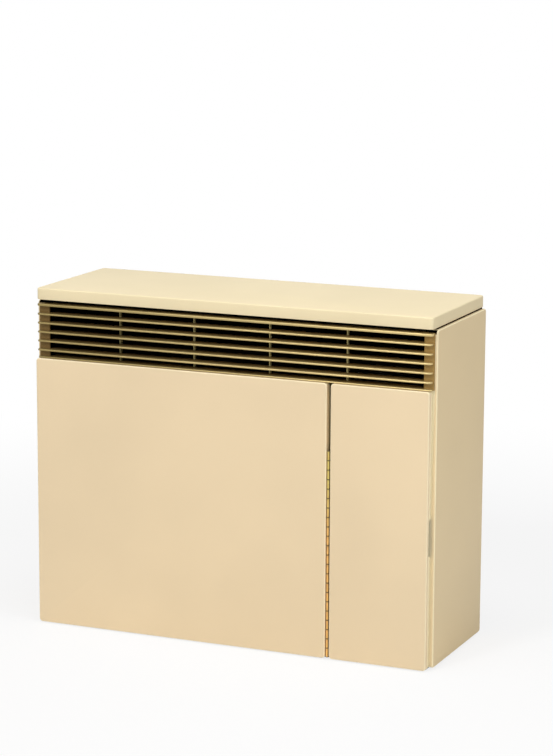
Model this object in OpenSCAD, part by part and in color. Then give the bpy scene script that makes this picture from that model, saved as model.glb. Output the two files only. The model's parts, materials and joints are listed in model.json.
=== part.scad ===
// Gas convector heater with a room-sealed wall flue.
// Origin: centre of the footprint on the floor or shelf. X runs to the right of someone facing
// the heater, Y runs towards the wall and Z runs up. All sizes are in millimetres.

/* [Casing] */
// Width over the two side panels
casing_w = 700; // [660:5:760]
// Depth from the wall to the front face
casing_d = 241; // [236:1:260]
// Height of the top cover above the floor
casing_h = 569; // [560:1:600]
// Sheet thickness of the enamelled covers
sheet_t = 1; // [0.8:0.1:1.2]
// Sheet thickness of the frame parts
frame_t = 1.2; // [1:0.1:1.5]
// Height of the top cover's rim
cover_h = 19; // [16:1:22]
// How far the top cover stands in from each side panel
cover_inset = 4; // [3:0.5:5]
// Dark seam between the cover and the side panels
cover_seam = 2.6; // [2:0.1:4]
// Radius of the cover's corners seen from above
cover_corner_r = 7; // [5:0.5:10]
// Width of the folded edge around the back of each side panel
side_fold = 12; // [11:0.5:13]
// Height of the side panels above the floor
side_lift = 4.4; // [4:0.1:5]

/* [Front] */
// Height of the grille strip under the cover
grille_h = 98; // [96:0.5:104]
// Gap between the floor and the front panels
front_lift = 2; // [1:0.5:3]
// Width of the control door
door_w = 165.5; // [160:0.5:175]
// Gap between the main panel and the door, where the hinge sits
door_gap = 6.5; // [6.3:0.1:7]
// Strip of side panel that shows left of the main panel
left_reveal = 2; // [1:0.5:3]
// Strip of side panel that shows right of the door
right_reveal = 8; // [7:0.5:9]
// Depth of the main panel's folded edge
pan_d = 13.4; // [12.5:0.1:14]
// Running clearance behind the closed door
door_back_gap = 0.5; // [0.4:0.1:0.8]
// Radius of the panel corners seen from the front
panel_corner_r = 5.5; // [4:0.5:8]
// Radius of the folded edges
edge_r = 2.5; // [2:0.1:3]
// Height of the finger notch in the door's edge
notch_h = 60; // [50:1:80]
// Height of the notch's lower end above the door's lower edge
notch_z = 185; // [150:1:230]
// Depth of the door edge left in front of the notch
notch_keep = 6.2; // [5:0.1:7]

/* [Grille] */
// Number of slats
slat_count = 6; // [5:1:6]
// Distance between slats
slat_pitch = 14.9; // [14:0.1:15]
// Slat thickness
slat_t = 3; // [2:0.1:4]
// Thickness of the top slat, which closes the grille's upper edge
top_slat_t = 4; // [3.2:0.1:5]
// Height of the first slat above the grille's lower edge
slat_first = 12.5; // [11:0.5:13]
// Slat depth from front to back
slat_d = 28.5; // [24:0.5:32]
// Radius of the slat ends seen from above
slat_end_r = 5; // [3:0.5:7]
// How far the slats reach past the door's right edge
slat_reach = 2; // [1:0.5:2]
// Number of upright ribs behind the slats
rib_count = 4; // [3:1:5]
// Rib width
rib_w = 3; // [2:0.1:4]
// Thickness of the grille's border
border_t = 3; // [2:0.5:4]
// Distance from the opening's left edge to the first rib
rib_first = 123; // [110:1:130]
// Width of the border at the left end
border_left = 18.5; // [15:0.5:21]
// Width of the border at the right end
border_right = 17; // [14:0.5:20]
// How far the border stays inside the main panel's left edge
border_inset = 2.5; // [1:0.5:4]
// How far the border reaches past the door's right edge
border_reach = 3.5; // [2:0.5:5]

/* [Door hinge] */
// Height of the hinge's upper end above its lower end
hinge_len = 338.8; // [300:0.1:380]
// Number of knuckles
knuckle_count = 22; // [18:2:26]
// Outer radius of a knuckle
knuckle_r = 2; // [1.8:0.1:2.2]
// Radius of the hinge pin
hinge_pin_r = 1; // [0.8:0.1:1.1]
// Distance of the pin behind the front face
hinge_back = 3.2; // [3:0.1:4]
// Thickness of a hinge leaf
leaf_t = 1; // [0.8:0.1:1]
// Gap between neighbouring knuckles
knuckle_gap = 0.3; // [0.2:0.1:0.5]

/* [Heat exchanger] */
// Width of the exchanger
exchanger_w = 460; // [440:5:462]
// Depth of the exchanger
exchanger_d = 120; // [112:1:122]
// Height of the exchanger
exchanger_h = 380; // [360:5:385]
// Height of the exchanger above the floor
exchanger_z = 50; // [45:1:55]
// Wall thickness of the exchanger
exchanger_t = 2; // [1.5:0.1:2.5]
// Radius of the exchanger's upright corners
exchanger_r = 18; // [14:1:20]
// Radius of the pressed ribs on the exchanger
rib_r = 9; // [6:0.5:9]
// Distance between the pressed ribs
exchanger_rib_pitch = 42; // [36:1:50]

/* [Burner] */
// Radius of the main burner tube
burner_r = 16; // [14:0.5:17]
// Distance between burner ports
port_pitch = 9; // [8:0.5:12]
// Width of a burner port
port_w = 1.6; // [1:0.1:2]
// Radius of the sight glass
glass_r = 17; // [15:0.5:18]

/* [Flue] */
// Radius of the flue spigot
flue_r = 35; // [32:0.5:38]
// Radius of the air collar around it
collar_r = 60; // [55:0.5:62]
// Wall thickness of both
flue_t = 1.5; // [1.2:0.1:2]
// Height of the flue's centre above the floor
flue_z = 350; // [330:1:355]
// Distance of the flue's centre left of the heater's centre
flue_left = 100; // [90:1:120]

/* [Gas controls] */
// Distance of the knob right of the control compartment's wall
knob_right = 68; // [66:1:72]
// Height of the knob and the button above the floor
knob_z = 172; // [165:1:180]
// Knob radius
knob_r = 22; // [19:0.5:24]
// Travel of the knob when it is pushed
knob_travel = 3.5; // [3:0.1:3.5]
// Distance from the knob to the igniter button
button_right = 58; // [54:1:60]
// Radius of the igniter button
button_r = 6.5; // [5.5:0.1:7]
// Travel of the igniter button
button_travel = 6; // [5:0.1:6.5]
// Radius of the gas inlet pipe
inlet_r = 10.48; // [8:0.01:11]
// Radius of the room sensor
sensor_r = 4.5; // [4:0.1:5]
// Radius of the slots for the wall screws
wall_slot_r = 3.25; // [3:0.05:4]
// Length of those slots
wall_slot_l = 13; // [11:1:16]
// Distance between the wall slots across the back
wall_slot_w = 600; // [580:5:610]
// Distance between the wall slots up the back
wall_slot_h = 440; // [420:5:450]

/* [Hidden] */
$fn = 48;

enamel = [0.94, 0.86, 0.71];
frame_grey = [0.62, 0.62, 0.6];
bronze = [0.62, 0.5, 0.26];
brass = [0.8, 0.66, 0.36];
steel = [0.72, 0.72, 0.74];
black = [0.12, 0.12, 0.13];

// Outer planes of the casing
half_w = casing_w / 2;
front_y = -casing_d / 2;
back_y = casing_d / 2;
cover_z = casing_h - cover_h;

// Front panels
front_top = cover_z - grille_h;
panel_h = front_top - front_lift;
panel_x = -half_w + left_reveal;
door_right = half_w - right_reveal;
door_x = door_right - door_w;
panel_w = door_x - door_gap - panel_x;
panel_right = panel_x + panel_w;
fold_y = front_y + pan_d;
door_d = pan_d - door_back_gap;

// Side panels
side_top = cover_z - cover_seam;
side_inner = half_w - sheet_t;

// Frame behind the front panels
frame_y = fold_y + sheet_t;
frame_back_y = frame_y + frame_t;
frame_x = half_w - 4;
frame_z = side_lift + frame_t;
frame_edge_z = side_lift + panel_corner_r;
frame_shelf_d = 16;
post_w = 28;
post_right = 20;
wall_x = panel_right + 1;
doorway_x = wall_x + 19;
doorway_right = frame_x - post_right;
frame_low_z = 30;
frame_rail = 20;
doorway_z = 24;

// Back frame and base
plate_back_y = back_y - sheet_t;
plate_y = plate_back_y - frame_t;
base_h = 12;
base_x = half_w - side_fold - 1;
base_lip = 12;
back_top_z = side_top - 2;

// Partition and compartment roof
wall_flange = 10;
roof_z = front_top - 12;
burner_y = front_y + 106.5;
hatch_front = burner_y - 36;
hatch_back = burner_y + 64;
hatch_z = exchanger_z + 2;
hatch_top = exchanger_z + 126;

// Heat exchanger
exchanger_right = wall_x - 33;
exchanger_x = exchanger_right - exchanger_w;
exchanger_back = burner_y + 70;
exchanger_front = exchanger_back - exchanger_d;
exchanger_top = exchanger_z + exchanger_h;
exchanger_rib_count = floor((exchanger_w - 2 * exchanger_r - 2 * rib_r) / exchanger_rib_pitch);
exchanger_rib_x = exchanger_x + exchanger_w / 2 - exchanger_rib_count * exchanger_rib_pitch / 2;

// Flue and air duct
flue_x = -flue_left;
duct_w = 2 * collar_r + 16;
duct_back = plate_y - 22.3;
duct_z = exchanger_z + 12;
duct_top = flue_z + collar_r + 10;
duct_t = 1.2;
air_port_w = 80;
air_port_h = 30;
air_port_z = duct_z + 10;
spigot_clear = 0.2;
flange_t = 1.5;
shield_y = duct_back + 8;
shield_t = 1;

// Burner set
burner_z = exchanger_z + 50;
burner_left = exchanger_x + 32;
burner_wall = 1.5;
gasket_t = 2;
plate_t = 2.5;
plate_w = 80;
plate_h = 110;
plate_z = exchanger_z + 12;
plate_front = burner_y - 36;
gasket_x = exchanger_right;
plate_x = gasket_x + gasket_t;
plate_face = plate_x + plate_t;
port_open = 10;
mixer_l = 22;
glass_z = burner_z + 46;
glass_t = 3;
pilot_y = burner_y + 26;
pilot_z = burner_z;
couple_z = burner_z + 16;
electrode_y = burner_y + 28;
electrode_z = burner_z - 16;
pilot_x = plate_x - 40;
fit_clear = 0.2;
plate_screw_r = 2.5;
plate_screw_in = 6;

// Control set
knob_x = wall_x + knob_right;
button_x = knob_x + button_right;
fascia_y = front_y + 52.5;
fascia_t = 1.5;
fascia_back = fascia_y + fascia_t;
fascia_left = knob_x - 56;
fascia_right = button_x + 32;
fascia_low = knob_z - 68;
fascia_top = knob_z + 64;
bracket_t = 1.5;
bracket_left = fascia_left + 2;
bracket_right = fascia_right - 2;
bracket_y = fascia_back + 68.5;
valve_w = 72;
valve_h = 80;
valve_x = knob_x - valve_w / 2;
valve_right = valve_x + valve_w;
valve_z = knob_z - 42;
valve_top = valve_z + valve_h;
valve_y = fascia_back + 8.5;
boss_y = fascia_back + 2.5;
boss_r = 14;
seat_y = boss_y + 14;
seat_r = 10;
sleeve_r = 7;
sleeve_end = seat_y + 12;
spindle_r = 4;
run_clear = 0.05;
knob_back = fascia_y - knob_travel - 0.5;
knob_d = 18;
knob_bore_d = 14;
grip_d = 8;
collar_t = 1.5;
collar_y = knob_back + collar_t;
button_bore_end = fascia_y + 28;
button_front = fascia_y - button_travel - 5;
button_back = button_bore_end - button_travel - 8;
bezel_t = 3;
piezo_r = button_r + 1.5;
piezo_back = fascia_y + 56;
outlet_y = burner_y;
outlet_z = knob_z - 22;
inlet_x = knob_x + 22;
inlet_y = valve_y + 28;
tower_y = valve_y + 28;
inlet_end = 14;
inlet_hole_r = 24;
inlet_top = valve_z - 12;
union_h = 18;
inlet_neck_r = inlet_r - 0.5;
pipe_y = valve_y + 18;
sensor_x = side_inner - 11;
sensor_y = fascia_y + 48;
sensor_z = 40;
sensor_l = 82;
sensor_tail = 1.2;
sensor_exit_z = knob_z - 22;

// Screws
screw_head = 2.2;
rear_screw_x = half_w - 7.5;
rear_screw_r = 2;
rear_head_r = 3.8;
rear_head_y = back_y - (rear_head_r - rear_screw_r);
rear_screws_z = [60, casing_h / 2 - 10, casing_h - 79];
wall_slot_z = (casing_h - wall_slot_h) / 2 - 4.5;

// Straight solids given by their two corners or their end points
module box(a, b) {
    translate(a)
        cube(b - a);
}

module rod_x(x0, x1, y, z, r) {
    translate([x0, y, z])
        rotate([0, 90, 0])
            cylinder(h = x1 - x0, r = r);
}

module rod_y(y0, y1, x, z, r) {
    translate([x, y1, z])
        rotate([90, 0, 0])
            cylinder(h = y1 - y0, r = r);
}

module rod_z(z0, z1, x, y, r) {
    translate([x, y, z0])
        cylinder(h = z1 - z0, r = r);
}

module hex_x(x0, x1, y, z, r) {
    translate([x0, y, z])
        rotate([0, 90, 0])
            cylinder(h = x1 - x0, r = r, $fn = 6);
}

module hex_z(z0, z1, x, y, r) {
    translate([x, y, z0])
        cylinder(h = z1 - z0, r = r, $fn = 6);
}

// Flat rectangle with round corners, lower left corner at the origin
module rounded_rect(w, h, r) {
    translate([r, 0])
        square([w - 2 * r, h]);
    translate([0, r])
        square([w, h - 2 * r]);
    for (x = [r, w - r], y = [r, h - r])
        translate([x, y])
            circle(r);
}

// Half section of a corner post with a round lower edge
module corner_section(d, corner_r, fold_r) {
    square([corner_r - fold_r, d]);
    translate([0, fold_r])
        square([corner_r, d - fold_r]);
    translate([corner_r - fold_r, fold_r])
        circle(fold_r);
}

// Block whose face at z = 0 has a round edge all the way round
module soft_block(w, h, d, corner_r, fold_r) {
    box([corner_r, fold_r, 0], [w - corner_r, h - fold_r, d]);
    box([corner_r, 0, fold_r], [w - corner_r, h, d]);
    box([fold_r, corner_r, 0], [w - fold_r, h - corner_r, d]);
    box([0, corner_r, fold_r], [w, h - corner_r, d]);
    for (y = [fold_r, h - fold_r])
        rod_x(corner_r, w - corner_r, y, fold_r, fold_r);
    for (x = [fold_r, w - fold_r])
        rod_y(corner_r, h - corner_r, x, fold_r, fold_r);
    for (x = [corner_r, w - corner_r], y = [corner_r, h - corner_r])
        translate([x, y, 0])
            rotate_extrude()
                corner_section(d, corner_r, fold_r);
}

// Folded sheet pan: closed face at z = 0, open at z = d
module pan(w, h, d, corner_r, fold_r, t) {
    difference() {
        soft_block(w, h, d, corner_r, fold_r);
        translate([t, t, t])
            soft_block(w - 2 * t, h - 2 * t, d, corner_r - t, fold_r - t);
    }
}

// Directions for bent tubes
function unit(v) = v / norm(v);
function bend_angle(a, b) = acos(max(-1, min(1, unit(a) * unit(b))));
function bend_trim(pts, i, bend_r) =
    i == 0 || i == len(pts) - 1 ? 0
    : bend_r * tan(bend_angle(pts[i] - pts[i - 1], pts[i + 1] - pts[i]) / 2);
function turn_angles(u, v, w) =
    u[2] > 0.9999 ? [atan2(-v[0], v[1]), -90, 0]
    : u[2] < -0.9999 ? [atan2(v[0], v[1]), 90, 0]
    : [atan2(v[2], w[2]), -asin(u[2]), atan2(u[1], u[0])];

module straight_tube(p, q, r) {
    d = q - p;
    translate(p)
        rotate([0, acos(d[2] / norm(d)), atan2(d[1], d[0])])
            cylinder(h = norm(d), r = r);
}

module tube_bend(p, d_in, d_out, r, bend_r) {
    a = unit(d_in);
    b = unit(d_out);
    angle = bend_angle(a, b);
    n = unit(b - a * cos(angle));
    start = p - a * bend_r * tan(angle / 2);
    translate(start + n * bend_r)
        rotate(turn_angles(-n, a, cross(-n, a)))
            rotate_extrude(angle = angle)
                translate([bend_r, 0])
                    circle(r);
}

// Tube along a chain of points, with a round bend at each inner point
module bent_tube(pts, r, bend_r) {
    for (i = [0 : len(pts) - 2]) {
        d = unit(pts[i + 1] - pts[i]);
        straight_tube(
            pts[i] + d * bend_trim(pts, i, bend_r),
            pts[i + 1] - d * bend_trim(pts, i + 1, bend_r),
            r
        );
    }
    for (i = [1 : len(pts) - 2])
        tube_bend(pts[i], pts[i] - pts[i - 1], pts[i + 1] - pts[i], r, bend_r);
}

// Wound spring along +Z, one unbroken wire
function spring_ring(r, wire_r, angle, z, sides) = [
    for (j = [0 : sides - 1])
        let (s = 360 * j / sides, d = r + wire_r * cos(s))
            [d * cos(angle), d * sin(angle), z + wire_r * sin(s)]
];

module wound_spring(r, wire_r, length, turns) {
    sides = 6;
    steps = 10;
    count = round(turns * steps);
    rise = (length - 2 * wire_r) / count;
    points = [
        for (k = [0 : count])
            each spring_ring(r, wire_r, 360 * k / steps, wire_r + rise * k, sides)
    ];
    walls = [
        for (k = [0 : count - 1], j = [0 : sides - 1])
            let (a = k * sides + j, b = k * sides + (j + 1) % sides)
                each [[a, a + sides, b], [b, a + sides, b + sides]]
    ];
    first = [for (j = [1 : sides - 2]) [0, j, j + 1]];
    last = [for (j = [1 : sides - 2]) [0, j + 1, j] + [1, 1, 1] * count * sides];
    polyhedron(points, concat(walls, first, last));
}

// Casing

module base_slots() {
    slot_l = 60;
    slot_w = 9;
    for (x = [-base_x + 40 : slot_l + 18 : wall_x - slot_l - 20], y = [-80 : 20 : 80])
        box([x, y, 0], [x + slot_l, y + slot_w, base_h + 1]);
    for (x = [wall_x + 14 : 40 : wall_x + 60], y = [-80, 60, 80])
        box([x, y, 0], [x + 26, y + slot_w, base_h + 1]);
}

module base_tray() {
    color(frame_grey)
        difference() {
            box([-base_x, frame_back_y, 0], [base_x, plate_y, base_h]);
            box(
                [-base_x + frame_t, frame_back_y + frame_t, frame_t],
                [base_x - frame_t, plate_y - frame_t, base_h - frame_t]
            );
            box(
                [-base_x + base_lip, frame_back_y + base_lip, -1],
                [base_x - base_lip, plate_y - base_lip, frame_t + 1]
            );
            base_slots();
            rod_z(0, base_h + 1, inlet_x, inlet_y, inlet_hole_r);
        }
}

module wall_slot(x, z) {
    reach = wall_slot_l / 2 - wall_slot_r;
    box([x - reach, plate_y - 1, z - wall_slot_r], [x + reach, back_y, z + wall_slot_r]);
    for (s = [-reach, reach])
        rod_y(plate_y - 1, back_y, x + s, z, wall_slot_r);
}

// Countersunk screw from the back; its hole has the same form
module rear_screw(x, z, y0) {
    rod_y(y0, rear_head_y, x, z, rear_screw_r);
    translate([x, back_y, z])
        rotate([90, 0, 0])
            cylinder(h = back_y - rear_head_y, r1 = rear_head_r, r2 = rear_screw_r);
}

module rear_screw_holes() {
    for (x = [-rear_screw_x, rear_screw_x], z = rear_screws_z)
        rear_screw(x, z, plate_y - 1);
}

// Sheet across the casing, notched at the corners of the folded side panels
module frame_plate(y, edge_top, z1) {
    box([-frame_x, y, frame_edge_z], [frame_x, y + frame_t, edge_top]);
    box([-base_x, y, frame_z], [base_x, y + frame_t, z1]);
}

module back_frame() {
    flange_d = 15;
    color(frame_grey)
        difference() {
            union() {
                frame_plate(plate_y, side_top - panel_corner_r, back_top_z);
                box(
                    [-frame_x + side_fold, plate_y - flange_d, back_top_z - frame_t],
                    [frame_x - side_fold, plate_y, back_top_z]
                );
            }
            rod_y(plate_y - 1, back_y, flue_x, flue_z, collar_r + 8);
            for (x = [-wall_slot_w / 2, wall_slot_w / 2], z = [wall_slot_z, wall_slot_z + wall_slot_h])
                wall_slot(x, z);
            rear_screw_holes();
        }
}

module front_frame() {
    color(frame_grey)
        difference() {
            union() {
                frame_plate(frame_y, front_top, front_top);
                box(
                    [-frame_x + side_fold, frame_back_y, front_top - frame_t],
                    [frame_x - side_fold, frame_back_y + frame_shelf_d, front_top]
                );
            }
            box(
                [-frame_x + post_w, frame_y - 1, frame_low_z],
                [wall_x - 21, frame_back_y + 1, front_top - frame_rail]
            );
            box(
                [doorway_x, frame_y - 1, doorway_z],
                [doorway_right, frame_back_y + 1, front_top - frame_rail + 4]
            );
            for (z = hinge_rivets_z)
                rod_y(frame_y - 1, frame_back_y + 1, rivet_x, z, rivet_r);
        }
}

// The left panel; the right one is its mirror image
module side_panel() {
    difference() {
        translate([-half_w, fold_y, side_lift])
            rotate([90, 0, 90])
                pan(back_y - fold_y, side_top - side_lift, side_fold, panel_corner_r, edge_r, sheet_t);
        rear_screw_holes();
    }
}

module side_panel_left() {
    color(enamel)
        side_panel();
}

module side_panel_right() {
    color(enamel)
        mirror([1, 0, 0])
            side_panel();
}

module top_cover() {
    cover_w = casing_w - 2 * cover_inset;
    rim_fold = 10;
    color(enamel)
        union() {
            translate([-cover_w / 2, back_y, casing_h])
                rotate([180, 0, 0])
                    pan(cover_w, casing_d, cover_h, cover_corner_r, edge_r, sheet_t);
            difference() {
                translate([-cover_w / 2, front_y, cover_z])
                    linear_extrude(sheet_t)
                        rounded_rect(cover_w, casing_d, cover_corner_r);
                box(
                    [-cover_w / 2 + rim_fold, front_y + rim_fold, cover_z - 1],
                    [cover_w / 2 - rim_fold, back_y - rim_fold, cover_z + sheet_t + 1]
                );
            }
        }
}

// Rubber pads that carry the cover on the side panels' top folds
module cover_pads() {
    pad_x = half_w - side_fold + 0.5;
    pad_end = panel_corner_r + 1.5;
    color(black)
        for (s = [0, 1])
            mirror([s, 0, 0])
                box([pad_x, fold_y + pad_end, side_top], [pad_x + 7, back_y - pad_end, cover_z]);
}

// Inclined sheet that turns the rising warm air forwards to the grille
module air_deflector() {
    rise_z = cover_z - 10;
    bend_y = exchanger_back - 36;
    lip_y = front_y + 36;
    color(steel)
        translate([side_inner, 0, 0])
            rotate([0, -90, 0])
                linear_extrude(2 * side_inner)
                    polygon([
                        [front_top - 4, plate_y],
                        [rise_z, bend_y],
                        [rise_z, lip_y],
                        [rise_z + sheet_t, lip_y],
                        [rise_z + sheet_t, bend_y + sheet_t],
                        [front_top - 4 + 1.5 * sheet_t, plate_y]
                    ]);
}

// Grille

module slat(z, t, tip_y, x1) {
    x0 = panel_x + border_inset;
    root_y = fold_y - border_t + 0.5;
    box([x0 + slat_end_r, tip_y, z], [x1 - slat_end_r, root_y, z + t]);
    box([x0, tip_y + slat_end_r, z], [x1, root_y, z + t]);
    for (x = [x0 + slat_end_r, x1 - slat_end_r])
        rod_z(z, z + t, x, tip_y + slat_end_r, slat_end_r);
}

module air_grille() {
    x0 = panel_x + border_inset;
    x1 = door_right + border_reach;
    slat_x1 = door_right + slat_reach;
    low = front_top + 0.6;
    top_z = front_top + slat_first + (slat_count - 1) * slat_pitch;
    high = top_z + top_slat_t;
    open_x0 = x0 + border_left;
    open_x1 = x1 - border_right;
    open_z0 = front_top + border_t;
    open_z1 = high - 2;
    bay = (open_x1 - open_x0 - rib_first) / rib_count;
    rib_y = front_y + slat_d - 6;
    color(bronze)
        union() {
            difference() {
                box([x0, fold_y - border_t, low], [x1, fold_y, high]);
                box([open_x0, fold_y - border_t - 1, open_z0], [open_x1, fold_y + 1, open_z1]);
            }
            slat(low, open_z0 - low, front_y + 2, slat_x1);
            for (i = [0 : slat_count - 1]) {
                z = front_top + slat_first + i * slat_pitch;
                top = i == slat_count - 1;
                t = top ? top_slat_t : slat_t;
                slat(z, t, front_y, top ? x1 : slat_x1);
                box([open_x0, fold_y - border_t, z], [open_x1, front_y + slat_d, z + t]);
            }
            for (i = [0 : rib_count - 1]) {
                x = open_x0 + rib_first + i * bay;
                box([x - rib_w / 2, rib_y, open_z0 - 1], [x + rib_w / 2, front_y + slat_d, open_z1 + 1]);
            }
            box([open_x0 + 2, fold_y - 1, open_z0 - 2], [open_x1, front_y + slat_d, open_z0]);
        }
}

// Front panels

module front_panel() {
    color(enamel)
        translate([panel_x, front_y, front_top])
            rotate([-90, 0, 0])
                pan(panel_w, panel_h, pan_d, panel_corner_r, edge_r, sheet_t);
}

// Brackets on the frame that the main panel hangs on and clips over
module panel_hooks() {
    hook_w = 30;
    foot_h = 16;
    reach_y = front_y + 4;
    color(steel)
        for (x = [panel_x + 60, panel_right - 90]) {
            box([x, reach_y, front_top - sheet_t - 1.5], [x + hook_w, frame_y, front_top - sheet_t]);
            box(
                [x, frame_y - 1.2, front_top - sheet_t - foot_h],
                [x + hook_w, frame_y, front_top - sheet_t - 1]
            );
            box(
                [x, reach_y, front_lift + sheet_t],
                [x + hook_w, frame_y, front_lift + sheet_t + 1.5]
            );
            box(
                [x, frame_y - 1.2, front_lift + sheet_t],
                [x + hook_w, frame_y, front_lift + sheet_t + foot_h]
            );
        }
}

module finger_notch() {
    z0 = front_lift + notch_z;
    r = 3;
    y0 = front_y + notch_keep;
    box([door_right - 2 * sheet_t, y0 + r, z0], [door_right + 1, front_y + pan_d, z0 + notch_h]);
    box([door_right - 2 * sheet_t, y0, z0 + r], [door_right + 1, front_y + pan_d, z0 + notch_h - r]);
    for (z = [z0 + r, z0 + notch_h - r])
        rod_x(door_right - 2 * sheet_t, door_right + 1, y0 + r, z, r);
}

module control_door() {
    color(enamel)
        difference() {
            translate([door_x, front_y, front_top])
                rotate([-90, 0, 0])
                    pan(door_w, panel_h, door_d, panel_corner_r, edge_r, sheet_t);
            finger_notch();
            for (z = hinge_rivets_z)
                rod_x(door_x - 1, door_x + 2 * sheet_t, door_rivet_y, z, rivet_r);
        }
}

// Door hinge: a long strip of knuckles in the gap between panel and door

hinge_x = panel_right + door_gap / 2;
hinge_y = front_y + hinge_back;
hinge_z = front_lift + 2;
knuckle_pitch = hinge_len / knuckle_count;
leaf_start = knuckle_r + 0.4;
rivet_r = 1.5;
rivet_x = panel_right - 15;
door_rivet_y = front_y + 10;
hinge_rivets_z = [for (i = [0 : 3]) hinge_z + hinge_len * (0.5 + i) / 4];

module knuckles(first) {
    for (i = [first : 2 : knuckle_count - 1])
        translate([hinge_x, hinge_y, hinge_z + i * knuckle_pitch])
            cylinder(h = knuckle_pitch - knuckle_gap, r = knuckle_r);
}

module knuckle_tongues(first, x) {
    for (i = [first : 2 : knuckle_count - 1])
        box(
            [x, hinge_y, hinge_z + i * knuckle_pitch],
            [x + leaf_t, hinge_y + leaf_start + 1, hinge_z + (i + 1) * knuckle_pitch - knuckle_gap]
        );
}

module hinge_bore() {
    rod_z(hinge_z - 1, hinge_z + hinge_len + 1, hinge_x, hinge_y, hinge_pin_r + run_clear);
}

module hinge_leaf_frame() {
    leaf_x = hinge_x - knuckle_r;
    foot_x = rivet_x - 4.5;
    color(brass)
        difference() {
            union() {
                knuckles(0);
                knuckle_tongues(0, leaf_x);
                box(
                    [leaf_x, hinge_y + leaf_start, hinge_z],
                    [leaf_x + leaf_t, frame_y, hinge_z + hinge_len]
                );
                box(
                    [foot_x, frame_y - sheet_t, hinge_z + 2],
                    [leaf_x + leaf_t, frame_y, hinge_z + hinge_len]
                );
            }
            hinge_bore();
            for (z = hinge_rivets_z)
                rod_y(fold_y - 1, frame_y + 1, rivet_x, z, rivet_r);
        }
}

module hinge_leaf_door() {
    leaf_x = hinge_x + knuckle_r - leaf_t;
    seat_x = door_x - leaf_t;
    bend_y = hinge_y + leaf_start;
    end_y = front_y + door_d - 0.5;
    color(brass)
        difference() {
            union() {
                knuckles(1);
                knuckle_tongues(1, leaf_x);
                translate([0, 0, hinge_z])
                    linear_extrude(hinge_len)
                        polygon([
                            [leaf_x, bend_y],
                            [leaf_x + leaf_t, bend_y],
                            [door_x, bend_y + 1.6],
                            [door_x, end_y],
                            [seat_x, end_y],
                            [seat_x, bend_y + 2],
                            [leaf_x, bend_y + 0.6]
                        ]);
            }
            hinge_bore();
            for (z = hinge_rivets_z)
                rod_x(seat_x - 1, door_x + 1, door_rivet_y, z, rivet_r);
        }
}

module hinge_pin() {
    color(steel)
        rod_z(hinge_z - 0.4, hinge_z + hinge_len + 0.4, hinge_x, hinge_y, hinge_pin_r);
}

module hinge_rivets_frame() {
    color(steel)
        for (z = hinge_rivets_z) {
            rod_y(fold_y, frame_back_y, rivet_x, z, rivet_r);
            rod_y(fold_y - 1, fold_y, rivet_x, z, 2 * rivet_r);
            rod_y(frame_back_y, frame_back_y + 1, rivet_x, z, 2 * rivet_r);
        }
}

module hinge_rivets_door() {
    head_r = 2.2;
    color(steel)
        for (z = hinge_rivets_z) {
            rod_x(door_x - leaf_t, door_x + sheet_t, door_rivet_y, z, rivet_r);
            rod_x(door_x - leaf_t - 0.8, door_x - leaf_t, door_rivet_y, z, head_r);
            rod_x(door_x + sheet_t, door_x + sheet_t + 1, door_rivet_y, z, head_r);
        }
}

// Door catch

catch_x = doorway_right + 1;
catch_w = 10;
catch_z = front_top - 110;
catch_h = 30;
catch_front = front_y + 5;

module magnet_catch() {
    color(black)
        difference() {
            box([catch_x, catch_front, catch_z], [catch_x + catch_w, frame_y, catch_z + catch_h]);
            box(
                [catch_x + 3, catch_front - 1, catch_z + 3],
                [catch_x + catch_w - 3, catch_front + 1, catch_z + catch_h - 3]
            );
        }
}

module strike_plate() {
    plate_d = 1.2;
    gap = 0.3;
    color(steel)
        union() {
            box(
                [catch_x - 2, catch_front - gap - plate_d, catch_z - 4],
                [catch_x + catch_w, catch_front - gap, catch_z + catch_h + 4]
            );
            for (z = [catch_z - 4, catch_z + catch_h])
                box(
                    [catch_x - 2, front_y + sheet_t, z],
                    [catch_x + catch_w, catch_front - gap, z + 4]
                );
        }
}

module door_buffers() {
    color(black)
        for (z = [front_lift + 34, front_top - 30])
            rod_y(front_y + sheet_t + 0.3, frame_y, catch_x + catch_w / 2, z, 4);
}

// Inner sheets

module partition() {
    color(steel)
        difference() {
            union() {
                box([wall_x, frame_back_y, base_h], [wall_x + frame_t, plate_y, roof_z]);
                box(
                    [wall_x - wall_flange, frame_back_y, base_h],
                    [wall_x, frame_back_y + frame_t, roof_z]
                );
                box([wall_x - wall_flange, plate_y - frame_t, base_h], [wall_x, plate_y, roof_z]);
            }
            box([wall_x - 1, hatch_front, hatch_z], [wall_x + frame_t + 1, hatch_back, hatch_top]);
        }
}

module compartment_roof() {
    color(steel)
        box([wall_x - wall_flange, frame_back_y, roof_z], [side_inner, plate_y, roof_z + frame_t]);
}

module rear_heat_shield() {
    x0 = exchanger_x + 34;
    x1 = exchanger_right + 20;
    z0 = exchanger_z - 18;
    z1 = exchanger_top - 4;
    color(steel)
        difference() {
            union() {
                box([x0, shield_y, z0], [x1, shield_y + shield_t, z1]);
                for (x = [x0 + 20, x1 - 20], z = [z0 + 20, z1 - 20])
                    rod_y(shield_y + shield_t / 2, plate_y, x, z, 5);
            }
            rod_y(shield_y - 1, shield_y + 5, flue_x, flue_z, collar_r + 12);
        }
}

// Heat exchanger

module exchanger_section(inset) {
    translate([exchanger_x + inset, exchanger_front + inset])
        rounded_rect(exchanger_w - 2 * inset, exchanger_d - 2 * inset, exchanger_r - inset);
    for (i = [0 : exchanger_rib_count])
        translate([exchanger_rib_x + i * exchanger_rib_pitch, exchanger_front + exchanger_t])
            circle(rib_r - inset);
}

module plate_screw_holes(x0, x1) {
    for (y = [plate_front + plate_screw_in, plate_front + plate_w - plate_screw_in])
        for (z = [plate_z + plate_screw_in, plate_z + plate_h - plate_screw_in])
            rod_x(x0, x1, y, z, plate_screw_r);
}

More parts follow.
